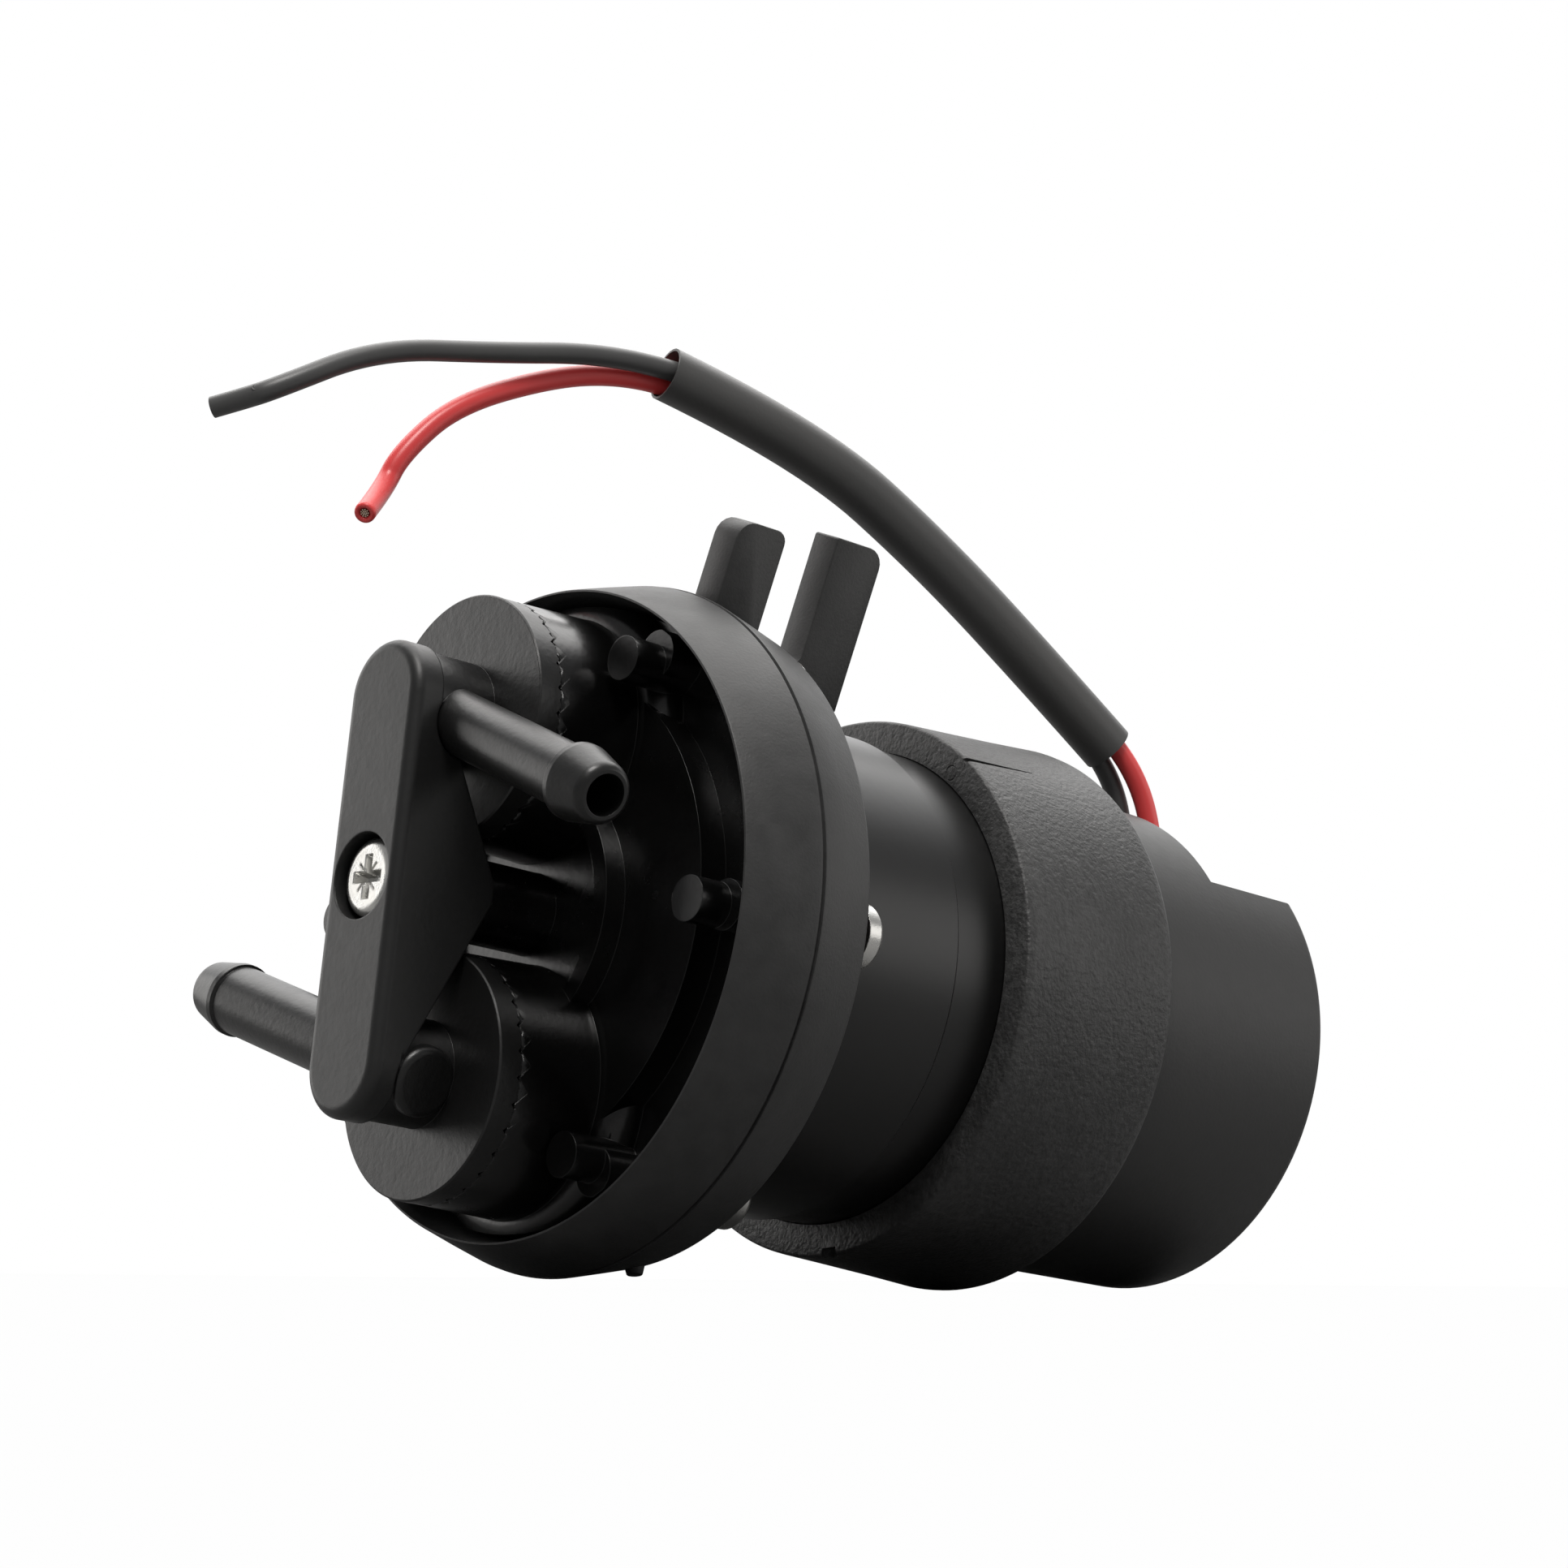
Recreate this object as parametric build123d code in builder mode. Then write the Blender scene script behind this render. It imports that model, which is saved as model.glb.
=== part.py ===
from build123d import *
from math import atan2, cos, degrees, pi, radians, sin, tan
import os

# Electric diaphragm fuel pump. All sizes are millimetres.
# +X runs along the pump axis from the ports to the rear cap, +Z is up, and
# the origin is on the axis, in the plane of the rubber ring's front rim.

os.makedirs("parts", exist_ok=True)

# Clearances
running_gap = 0.05
slide_gap = 0.1
seat_gap = 0.15

# Port caps, their hose nozzles and the towers that they close
cap_r = 11.8
port_gap = 5.1
cap_disc = 2.65
cap_wall = 1.8
cap_bevel = 0.15
cap_boss_r = 5.1
cap_boss_height = 6.1
tooth_count = 30
tooth_turn = 1.8
tooth_height = 1.2
tooth_gap = 0.3
tower_height = 8.95
crown_wall = 2.1
spigot_length = 2.5
spigot_wall = 2.0
seal_section_r = 0.5
nozzle_lean = 2.3
nozzle_bore_r = 1.95
nozzle_reach = 30.2
nozzle_tip_r = 2.3
nozzle_nose = 0.8
barb_r = 3.6
barb_length = 4.7
barb_back = 0.15
barb_land = 0.6
barb_front_r = 2.9
outlet_tube_r = 3.0
outlet_droop = 21.0
inlet_tube_r = 3.35
inlet_rise = 16.5
closed_end = 5.3
closed_end_edge = 0.7

# Retaining bar and its screw
bar_half_width = 5.25
bar_end_margin = 5.5
bar_thickness = 3.1
bar_edge_r = 1.1
counterbore_r = 4.1
bar_screw_r = 2.0
bar_screw_head_r = 3.7
bar_screw_head_height = 2.2
bar_screw_head_sink = 0.7
bar_screw_bite = 6.3

# Front housing
front_face_x = 1.8
disc_height = 2.9
front_flange = 2.8
disc_wall = 3.4
hub_ring_r = 12.8
hub_ring_wall = 2.0
hub_ring_height = 2.2
hub_floor_sink = 1.0
centre_boss_r = 4.0
centre_boss_height = 9.3
tower_draft = 0.3
tower_floor = 4.3
tower_flare = 3.0
chamber_r = 20.0
chamber_depth = 4.7
valve_pocket_r = 5.5
valve_port_r = 3.0

# Flange screws and the lugs that they pull on
screw_count = 6
screw_turn = 1.6
lug_r = 2.15
lug_inset = 1.2
lug_height = 4.25
lug_pad_r = 2.4
lug_pad = 0.8
flange_screw_r = 1.5
flange_screw_head_r = 3.2
flange_screw_head_height = 2.3
flange_screw_tip = 0.4
flange_margin = 2.3
column_r = 3.6
column_height = 3.0

# Valves
valve_plate = 1.5
valve_disc_r = 4.6
valve_disc = 0.8
valve_spring_r = 3.3
valve_spring_wire_r = 0.2
valve_spring_turns = 3

# Diaphragm and the rod that pulls it
diaphragm = 0.8
diaphragm_margin = 1.2
washer_r = 15.0
washer = 1.0
rod_r = 2.0
rod_nut = 2.0
rod_nut_across = 7.0

# Rear flange
rear_plate = 4.7
rear_recess = 4.3
rear_web = 2.0
spigot_height = 4.0
spigot_thickness = 2.3
groove_depth = 0.75
groove_front_wall = 0.5
groove_width = 2.4

# Rubber mounting ring and its fork
ring_gap = 0.2
ring_lip = 0.8
ring_rim = 0.25
ring_crest_x = 7.9
ring_crest_wall = 3.2
ring_shoulder_wall = 1.65
ring_edge_r = 0.5
ring_overhang = 2.0
ring_rib_gap = 0.12
ring_nub_x = 13.4
ring_nub_r = 1.1
ring_nub_height = 1.0
ring_nub_angle = 260.0
fork_tilt = 18.0
fork_near = 1.2
fork_thickness = 3.6
front_prong_x = 10.3
front_prong_width = 6.0
front_prong_height = 11.4
hanger_slot = 6.1
rear_prong_width = 6.3
rear_prong_height = 12.6
fork_root_gap = 1.4
fork_bridge = 3.6
front_prong_nose_r = 2.0
front_prong_back_r = 1.2
rear_prong_nose_r = 0.3
rear_prong_back_r = 1.8

# Solenoid can and rear cap
can_r = 24.1
can_step = 0.5
can_step_x = 33.5
can_overlap = 4.0
can_wall = 1.2
cap_rear_x = 87.0
rear_cap_lip = 0.8
rear_cap_wall = 1.8
flat_z = 15.8
flat_x = 74.0
flat_wall = 1.6
rear_edge_r = 1.0

# Rubber sleeve over the joint between can and rear cap
sleeve_front_reach = 9.6
sleeve_rear_reach = 10.1
sleeve_front_wall = 3.2
sleeve_rear_wall = 3.5
sleeve_slit_length = 9.0
sleeve_slit_angle = 126.5
sleeve_notch_angle = 264.0

# Solenoid
pole_plate = 2.0
bobbin_length = 30.0
bobbin_flange = 1.2
bobbin_flange_gap = 2.4
bobbin_wall = 1.1
winding_gap = 0.8
core_tube_r = 8.0
core_tube_wall = 0.8
core_tube_gap = 0.4
plunger_lead_in = 9.0
plunger_length = 26.0
stop_length = 2.9
spring_space = 9.0
spring_r = 5.2
spring_wire_r = 0.5
spring_turns = 5
trip_rod_r = 1.2
trip_gap = 0.3

# Contact breaker
contact_base = 2.0
arm_gap = 2.8
arm_thickness = 1.2
arm_half_width = 3.0
arm_top_z = 7.4
pivot_drop = 12.0
pivot_pin_r = 1.0
pivot_eye_r = 1.9
contact_z = 4.6
contact_r = 1.6
contact_pad = 0.9
contact_gap = 0.1
terminal_thickness = 0.8
terminal_width = 2.4
terminal_height = 4.4

# Leads. They lie in one upright plane, at lead_plane from the origin, and
# each point is (along the plane, up, across the plane).
lead_r = 1.075
lead_sleeve_r = 2.825
lead_sleeve_wall = 0.26
lead_plane = 13.8
lead_plane_turn = 13.065
grommet_flange_r = 2.9
grommet_neck_r = 2.1
grommet_flange = 1.8
red_route = [
    (-79.1, 11.0, -1.2),
    (-79.1, 16.5, -1.2),
    (-78.7, 22.3, -1.2),
    (-76.5, 28.3, -1.1),
    (-72.0, 32.9, -0.98),
    (-63.0, 38.6, -1.2),
    (-53.7, 44.1, -1.07),
    (-44.0, 49.5, -0.62),
    (-34.5, 54.2, 0.02),
    (-25.8, 57.1, 0.65),
    (-17.1, 59.4, 1.06),
    (-10.2, 59.1, 1.0),
    (-3.2, 57.0, 0.9),
    (6.6, 51.9, 0.9),
    (12.0, 45.8, 0.9),
    (14.8, 38.6, 0.9),
]
black_route = [
    (-77.2, 11.0, 1.5),
    (-77.2, 17.0, 1.5),
    (-76.6, 22.6, 1.3),
    (-74.8, 27.8, 1.1),
    (-71.2, 31.8, 0.98),
    (-62.9, 38.4, 1.2),
    (-54.3, 45.1, 1.07),
    (-45.0, 51.3, 0.62),
    (-35.4, 56.4, -0.02),
    (-26.2, 59.1, -0.65),
    (-17.3, 60.4, -1.06),
    (-7.5, 60.2, -1.05),
    (3.5, 57.6, -1.0),
    (16.3, 55.0, -1.0),
    (26.5, 48.4, -1.0),
    (32.7, 45.3, -1.0),
]
lead_sleeve_route = [
    (-72.8, 31.5, 0.0),
    (-65.0, 37.1, 0.0),
    (-49.5, 47.7, 0.0),
    (-33.0, 56.7, 0.0),
    (-15.7, 60.2, 0.0),
]

# Sizes and places that follow from the ones above: first across the pump
can_front_r = can_r + can_step
can_inner_r = can_r - can_wall
screw_circle_r = can_front_r + flange_screw_head_r + slide_gap
flange_r = screw_circle_r + flange_margin
front_disc_r = chamber_r + disc_wall
diaphragm_r = flange_r - diaphragm_margin
groove_r = flange_r - groove_depth
ring_inner_r = flange_r + ring_gap
ring_lip_r = ring_inner_r + ring_lip
ring_front_r = ring_lip_r + ring_rim
ring_crest_r = ring_inner_r + ring_crest_wall
ring_shoulder_r = ring_inner_r + ring_shoulder_wall
front_prong_top = ring_inner_r + front_prong_height
rear_prong_top = ring_inner_r + rear_prong_height
fork_root = can_front_r + fork_root_gap
fork_bridge_top = fork_root + fork_bridge
cap_bore_r = can_r + slide_gap
rear_cap_r = cap_bore_r + rear_cap_lip
cap_inner_r = rear_cap_r - rear_cap_wall
sleeve_bore_r = can_r + slide_gap
sleeve_front_r = sleeve_bore_r + sleeve_front_wall
sleeve_rear_r = rear_cap_r + slide_gap + sleeve_rear_wall
port_offset = cap_r + port_gap
tower_bore_r = cap_r - crown_wall - slide_gap
spigot_r = tower_bore_r - seat_gap
bar_half_height = port_offset + bar_end_margin
core_bore_r = core_tube_r - core_tube_wall
plunger_r = core_bore_r - slide_gap
bobbin_flange_r = can_inner_r - bobbin_flange_gap
lug_circle_r = screw_circle_r - lug_inset
screw_angles = [screw_turn + 360 / screw_count * k for k in range(screw_count)]

# Then along it, from the front face forward
tooth_mean_x = front_face_x - tower_height
tooth_root_x = tooth_mean_x - tooth_height / 2
spigot_end_x = tooth_root_x + spigot_length
cap_face_x = tooth_mean_x - cap_disc
cap_ceiling_x = cap_face_x + cap_wall
bar_rear_x = cap_face_x - cap_boss_height
bar_front_x = bar_rear_x - bar_thickness
nozzle_x = (bar_rear_x + cap_face_x) / 2 - 0.05
centre_boss_front_x = front_face_x - centre_boss_height
bar_apex_x = centre_boss_front_x - 2 * slide_gap
bar_screw_tip_x = centre_boss_front_x + bar_screw_bite
hub_ring_front_x = front_face_x - hub_ring_height
hub_floor_x = front_face_x - hub_floor_sink
lug_front_x = front_face_x - lug_height

# And from the front face to the rear
front_flange_x = front_face_x + disc_height
front_rear_x = front_flange_x + front_flange
chamber_front_x = front_rear_x - chamber_depth
tower_floor_x = chamber_front_x - tower_floor
valve_plate_x = tower_floor_x - valve_plate
lug_pad_x = front_face_x - lug_pad
flange_screw_tip_x = front_face_x + flange_screw_tip
diaphragm_rear_x = front_rear_x + diaphragm
rear_plate_x = diaphragm_rear_x + rear_plate
rear_recess_x = diaphragm_rear_x + rear_recess
web_x = rear_recess_x + rear_web
groove_front_x = diaphragm_rear_x + groove_front_wall
groove_rear_x = groove_front_x + groove_width
ring_rear_x = rear_plate_x + ring_overhang
column_rear_x = rear_plate_x + column_height
rear_prong_x = front_prong_x + front_prong_width + hanger_slot
spigot_rear_x = rear_plate_x + spigot_height
bobbin_front_x = spigot_rear_x + pole_plate
bobbin_rear_x = bobbin_front_x + bobbin_length
can_rear_x = bobbin_rear_x + pole_plate + 3.0
cap_front_x = can_rear_x - can_overlap
sleeve_front_x = cap_front_x - sleeve_front_reach
sleeve_rear_x = cap_front_x + sleeve_rear_reach
core_tube_front_x = web_x + core_tube_gap
plunger_front_x = core_tube_front_x + plunger_lead_in
plunger_rear_x = plunger_front_x + plunger_length
stop_front_x = plunger_rear_x + spring_space
core_tube_rear_x = stop_front_x + stop_length
base_front_x = core_tube_rear_x + slide_gap
base_rear_x = base_front_x + contact_base
arm_front_x = base_rear_x + arm_gap
trip_rod_rear_x = arm_front_x - trip_gap
pivot_x = arm_front_x + arm_thickness / 2
terminal_top_z = red_route[0][1]


def save(piece, label):
    """Names a finished piece and writes its STEP file."""
    piece.part.label = label
    export_step(piece.part, f"parts/{label}.step")


def port_plane(side):
    """Plane through a port's axis: x runs rearward, y is the radius."""
    return Plane(origin=(0, 0, side * port_offset), x_dir=(1, 0, 0), z_dir=(0, 0, 1))


def port_axis(side):
    """Axis of a port cap and of everything under it."""
    return Axis((0, 0, side * port_offset), (1, 0, 0))


def cross_section(x, y=0.0, z=0.0):
    """Plane square to the pump axis, with y along +Y and z along +Z."""
    return Plane(origin=(x, y, z), x_dir=(0, 1, 0), z_dir=(1, 0, 0))


def nozzle_frame(side, tilt):
    """Where a nozzle starts and the way that it points."""
    lean, slope = radians(nozzle_lean), radians(tilt)
    across, down = -side * cos(lean) * cos(slope), -side * cos(lean) * sin(slope)
    return Vector(nozzle_x, 0, side * port_offset), Vector(-sin(lean), across, down)


# Crown of V teeth that locks a port cap to its tower. The teeth stand on the
# cap's rim and point rearward.
with BuildPart() as tooth:
    tooth_half = (cap_r + 0.2) * tan(pi / tooth_count)
    with BuildSketch(Plane((tooth_root_x, 0, 0), x_dir=(0, 1, 0), z_dir=(0, 0, 1))):
        with BuildLine():
            Polyline((-tooth_half, 0), (tooth_half, 0), (0, -tooth_height), close=True)
        make_face()
    extrude(amount=cap_r + 1)

with BuildPart() as crown:
    for k in range(tooth_count):
        add(tooth.part.rotate(Axis.X, tooth_turn + 360 / tooth_count * k))
    with BuildSketch(cross_section(tooth_root_x)):
        Circle(cap_r)
        Circle(cap_r - crown_wall, mode=Mode.SUBTRACT)
    extrude(amount=tooth_height, mode=Mode.INTERSECT)


def make_port_cap(label, side, tube_r, tilt):
    """A port cap: toothed lid, clamped boss, hose nozzle and sealed spigot."""
    groove_x = spigot_end_x - 1.7
    start, way = nozzle_frame(side, tilt)
    nozzle_plane = Plane(start, x_dir=way, z_dir=way.cross(Vector(1, 0, 0)))
    barb_start = nozzle_reach - barb_length
    nose_start = nozzle_reach - nozzle_nose
    with BuildPart() as cap:
        with BuildSketch(port_plane(side)):
            with BuildLine():
                Polyline(
                    (bar_rear_x, 0),
                    (bar_rear_x, cap_boss_r),
                    (cap_face_x, cap_boss_r),
                    (cap_face_x, cap_r - cap_bevel),
                    (cap_face_x + cap_bevel, cap_r),
                    (tooth_root_x, cap_r),
                    (tooth_root_x, spigot_r),
                    (groove_x, spigot_r),
                    (groove_x, spigot_r - 2 * seal_section_r),
                    (groove_x + 1.2, spigot_r - 2 * seal_section_r),
                    (groove_x + 1.2, spigot_r),
                    (spigot_end_x, spigot_r),
                    (spigot_end_x, spigot_r - spigot_wall),
                    (cap_ceiling_x, spigot_r - spigot_wall),
                    (cap_ceiling_x, 0),
                    close=True,
                )
            make_face()
        revolve(axis=port_axis(side))
        add(crown.part.moved(Location((0, 0, side * port_offset))))
        with BuildSketch(nozzle_plane):
            with BuildLine():
                Line((-closed_end, 0), (-closed_end, tube_r - closed_end_edge))
                RadiusArc(
                    (-closed_end, tube_r - closed_end_edge),
                    (-closed_end + closed_end_edge, tube_r),
                    closed_end_edge,
                )
                Polyline(
                    (-closed_end + closed_end_edge, tube_r),
                    (barb_start - barb_back, tube_r),
                    (barb_start, barb_r),
                    (barb_start + barb_land, barb_r),
                    (nose_start, barb_front_r),
                )
                TangentArc(
                    (nose_start, barb_front_r),
                    (nozzle_reach, nozzle_tip_r),
                    tangent=(nose_start - barb_start - barb_land, barb_front_r - barb_r),
                )
                Polyline((nozzle_reach, nozzle_tip_r), (nozzle_reach, 0), (-closed_end, 0))
            make_face()
        revolve(axis=Axis(start, way))
        with BuildSketch(Plane(start, z_dir=way)):
            Circle(nozzle_bore_r)
        extrude(amount=nozzle_reach + 1, mode=Mode.SUBTRACT)
        with BuildSketch(cross_section(nozzle_x, z=side * port_offset)):
            Circle(nozzle_bore_r)
        extrude(amount=cap_ceiling_x - nozzle_x, mode=Mode.SUBTRACT)
    save(cap, label)


make_port_cap("outlet_port_cap", 1, outlet_tube_r, outlet_droop)
make_port_cap("inlet_port_cap", -1, inlet_tube_r, inlet_rise)


def make_cap_seal(label, side):
    """O-ring in the groove of a port cap's spigot."""
    with BuildPart() as seal:
        middle_r = spigot_r - seal_section_r
        with BuildSketch(port_plane(side)):
            with Locations((spigot_end_x - 1.1, middle_r)):
                Circle(seal_section_r - 0.02)
        revolve(axis=port_axis(side))
    save(seal, label)


make_cap_seal("outlet_cap_seal", 1)
make_cap_seal("inlet_cap_seal", -1)

# Retaining bar: a round-ended moulding whose gusset deepens to the middle. It
# presses on both cap bosses and straddles the nozzles, so the caps can't turn.
with BuildPart() as retaining_bar:
    with BuildSketch(Plane.XZ.offset(-bar_half_width)):
        with BuildLine():
            Polyline(
                (bar_front_x, -bar_half_height),
                (bar_front_x, bar_half_height),
                (bar_rear_x, bar_half_height),
                (bar_rear_x, port_offset),
                (bar_apex_x, 0.9),
                (bar_apex_x, -0.9),
                (bar_rear_x, -port_offset),
                (bar_rear_x, -bar_half_height),
                close=True,
            )
        make_face()
    extrude(amount=2 * bar_half_width)
    with BuildSketch(cross_section(bar_front_x)):
        SlotOverall(2 * bar_half_height, 2 * bar_half_width, rotation=90)
    extrude(amount=bar_apex_x - bar_front_x, mode=Mode.INTERSECT)
    fillet(retaining_bar.faces().sort_by(Axis.X)[0].edges(), bar_edge_r)
    with BuildSketch(cross_section(bar_rear_x)):
        with Locations((0, port_offset), (0, -port_offset)):
            Circle(cap_boss_r + seat_gap)
    extrude(amount=bar_apex_x - bar_rear_x, mode=Mode.SUBTRACT)
    for side, tube_r, tilt in (1, outlet_tube_r, outlet_droop), (-1, inlet_tube_r, inlet_rise):
        start, way = nozzle_frame(side, tilt)
        with BuildSketch(Plane(start - way * 8, z_dir=way)):
            Circle(tube_r + seat_gap)
        extrude(amount=20, mode=Mode.SUBTRACT)
    with BuildSketch(cross_section(bar_front_x)):
        Circle(counterbore_r)
    extrude(amount=bar_screw_head_sink + bar_screw_head_height, mode=Mode.SUBTRACT)
    with BuildSketch(cross_section(bar_front_x)):
        Circle(bar_screw_r + slide_gap)
    extrude(amount=bar_apex_x - bar_front_x, mode=Mode.SUBTRACT)
save(retaining_bar, "retaining_bar")


# Zinc-plated pan head screw that holds the retaining bar
with BuildPart() as bar_screw:
    head_top_x = bar_front_x + bar_screw_head_sink
    head_seat_x = head_top_x + bar_screw_head_height
    with BuildSketch(Plane.XY):
        with BuildLine():
            Polyline(
                (head_top_x + 0.5, bar_screw_head_r),
                (head_seat_x, bar_screw_head_r),
                (head_seat_x, bar_screw_r),
                (bar_screw_tip_x - 0.6, bar_screw_r),
                (bar_screw_tip_x, bar_screw_r - 0.6),
                (bar_screw_tip_x, 0),
                (head_top_x, 0),
                (head_top_x, bar_screw_head_r - 1.2),
            )
            ThreePointArc(
                (head_top_x, bar_screw_head_r - 1.2),
                (head_top_x + 0.13, bar_screw_head_r - 0.45),
                (head_top_x + 0.5, bar_screw_head_r),
            )
        make_face()
    revolve(axis=Axis.X)
    with BuildSketch(cross_section(head_top_x)):
        Rectangle(4.2, 1.1)
        Rectangle(1.1, 4.2)
    extrude(amount=1.4, taper=14, mode=Mode.SUBTRACT)
    with BuildSketch(cross_section(head_top_x)):
        Rectangle(3.6, 0.25, rotation=45)
        Rectangle(3.6, 0.25, rotation=-45)
    extrude(amount=0.2, mode=Mode.SUBTRACT)
save(bar_screw, "bar_screw")

# Front housing: moulded flange with two valve towers, a hub for the bar's
# screw, and the pump chamber in its rear face. Six lugs and the pads beside
# them back the flange screws.
with BuildPart() as front_housing:
    with BuildSketch(Plane.XY):
        with BuildLine():
            Polyline(
                (hub_floor_x, 0),
                (hub_floor_x, hub_ring_r - hub_ring_wall),
                (hub_ring_front_x, hub_ring_r - hub_ring_wall + 0.1),
                (hub_ring_front_x, hub_ring_r - 0.1),
                (front_face_x, hub_ring_r),
                (front_face_x, front_disc_r),
                (front_flange_x, front_disc_r + 0.1),
                (front_flange_x, flange_r),
                (front_rear_x, flange_r),
                (front_rear_x, 0),
                close=True,
            )
        make_face()
    revolve(axis=Axis.X)
    with BuildSketch(cross_section(centre_boss_front_x)):
        Circle(centre_boss_r)
    extrude(amount=hub_floor_x - centre_boss_front_x + 0.5)
    for side in (1, -1):
        with BuildSketch(port_plane(side)):
            with BuildLine():
                Polyline(
                    (front_flange_x, cap_r + tower_draft + tower_flare),
                    (front_flange_x, 0),
                    (tooth_root_x + tooth_gap, 0),
                    (tooth_root_x + tooth_gap, cap_r),
                    (front_flange_x - tower_flare, cap_r + tower_draft),
                )
                RadiusArc(
                    (front_flange_x - tower_flare, cap_r + tower_draft),
                    (front_flange_x, cap_r + tower_draft + tower_flare),
                    tower_flare,
                )
            make_face()
        revolve(axis=port_axis(side))
    with BuildSketch(cross_section(lug_front_x)):
        with PolarLocations(lug_circle_r, screw_count, screw_turn):
            Circle(lug_r)
    extrude(amount=front_rear_x - lug_front_x)
    with BuildSketch(cross_section(lug_pad_x)):
        with PolarLocations(screw_circle_r, screw_count, screw_turn):
            Circle(lug_pad_r)
    extrude(amount=front_rear_x - lug_pad_x)
    with BuildSketch(cross_section(-10)):
        Circle(flange_r + 10)
        Circle(flange_r, mode=Mode.SUBTRACT)
    extrude(amount=20, mode=Mode.SUBTRACT)
    with BuildSketch(Plane.XY):
        with BuildLine():
            Polyline(
                (front_rear_x, 0),
                (front_rear_x, chamber_r),
                (chamber_front_x + 1.5, chamber_r),
                (chamber_front_x, chamber_r - 1.5),
                (chamber_front_x, 0),
                close=True,
            )
        make_face()
    revolve(axis=Axis.X, mode=Mode.SUBTRACT)
    for side in (1, -1):
        with BuildSketch(cross_section(tooth_root_x, z=side * port_offset)):
            Circle(tower_bore_r)
        extrude(amount=tower_floor_x - tooth_root_x, mode=Mode.SUBTRACT)
        with BuildSketch(cross_section(tower_floor_x, z=side * port_offset)):
            Circle(valve_port_r)
        extrude(amount=front_rear_x - tower_floor_x, mode=Mode.SUBTRACT)
        rim_shift = Location((tooth_gap, 0, side * port_offset))
        add(crown.part.moved(rim_shift), mode=Mode.SUBTRACT)
    with BuildSketch(cross_section(tower_floor_x, z=-port_offset)):
        Circle(valve_pocket_r)
    extrude(amount=chamber_front_x - 0.8 - tower_floor_x, mode=Mode.SUBTRACT)
    with BuildSketch(cross_section(centre_boss_front_x)):
        Circle(bar_screw_r + running_gap)
    extrude(amount=bar_screw_tip_x + 0.5 - centre_boss_front_x, mode=Mode.SUBTRACT)
    with BuildSketch(cross_section(flange_screw_tip_x - 0.5)):
        with PolarLocations(screw_circle_r, screw_count, screw_turn):
            Circle(flange_screw_r + running_gap)
    extrude(amount=front_rear_x, mode=Mode.SUBTRACT)
save(front_housing, "front_housing")


def make_valve(name, side, disc_x, spring_front_x, spring_length):
    """One check valve: a drilled seat plate, its disc and the disc's spring."""
    with BuildPart() as seat:
        with BuildSketch(cross_section(valve_plate_x, z=side * port_offset)):
            Circle(tower_bore_r - seat_gap)
            with PolarLocations(2.4, 4):
                Circle(0.9, mode=Mode.SUBTRACT)
        extrude(amount=valve_plate)
    save(seat, f"{name}_valve_seat")
    with BuildPart() as disc:
        with BuildSketch(cross_section(disc_x, z=side * port_offset)):
            Circle(valve_disc_r)
        extrude(amount=valve_disc)
    save(disc, f"{name}_valve_disc")
    with BuildPart() as spring:
        coil = Helix(
            pitch=(spring_length - 2 * valve_spring_wire_r) / valve_spring_turns,
            height=spring_length - 2 * valve_spring_wire_r,
            radius=valve_spring_r,
            center=(spring_front_x + valve_spring_wire_r, 0, side * port_offset),
            direction=(1, 0, 0),
        )
        with BuildSketch(Plane(coil @ 0, z_dir=coil % 0)):
            Circle(valve_spring_wire_r)
        sweep(path=coil, is_frenet=True)
    save(spring, f"{name}_valve_spring")


# The outlet's disc lifts forward, away from the chamber, and the inlet's
# lifts rearward, into it.
make_valve(
    "outlet",
    1,
    valve_plate_x - valve_disc,
    cap_ceiling_x + 0.05,
    valve_plate_x - valve_disc - cap_ceiling_x - 0.1,
)
make_valve(
    "inlet",
    -1,
    tower_floor_x,
    tower_floor_x + valve_disc + 0.05,
    chamber_front_x - 0.8 - tower_floor_x - valve_disc - 0.1,
)

# Rubberised fabric diaphragm, clamped at its rim between the two flanges
with BuildPart() as diaphragm_sheet:
    with BuildSketch(cross_section(front_rear_x)):
        Circle(diaphragm_r)
        Circle(rod_r + running_gap, mode=Mode.SUBTRACT)
        with PolarLocations(screw_circle_r, screw_count, screw_turn):
            Circle(flange_screw_r + 0.3, mode=Mode.SUBTRACT)
    extrude(amount=diaphragm)
save(diaphragm_sheet, "diaphragm")


def make_washer(label, x):
    """A pressed steel washer that backs the middle of the diaphragm."""
    with BuildPart() as plate:
        with BuildSketch(cross_section(x)):
            Circle(washer_r)
            Circle(rod_r + running_gap, mode=Mode.SUBTRACT)
        extrude(amount=washer)
        fillet(plate.edges().filter_by(GeomType.CIRCLE).group_by(SortBy.RADIUS)[-1], 0.3)
    save(plate, label)


make_washer("front_diaphragm_washer", front_rear_x - washer)
make_washer("rear_diaphragm_washer", diaphragm_rear_x)

# Hexagon nut on the threaded front end of the pull rod
with BuildPart() as rod_nut_piece:
    with BuildSketch(cross_section(front_rear_x - washer - rod_nut)):
        RegularPolygon(rod_nut_across / 2, 6, major_radius=False)
        Circle(rod_r + running_gap, mode=Mode.SUBTRACT)
    extrude(amount=rod_nut)
save(rod_nut_piece, "rod_nut")

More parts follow.
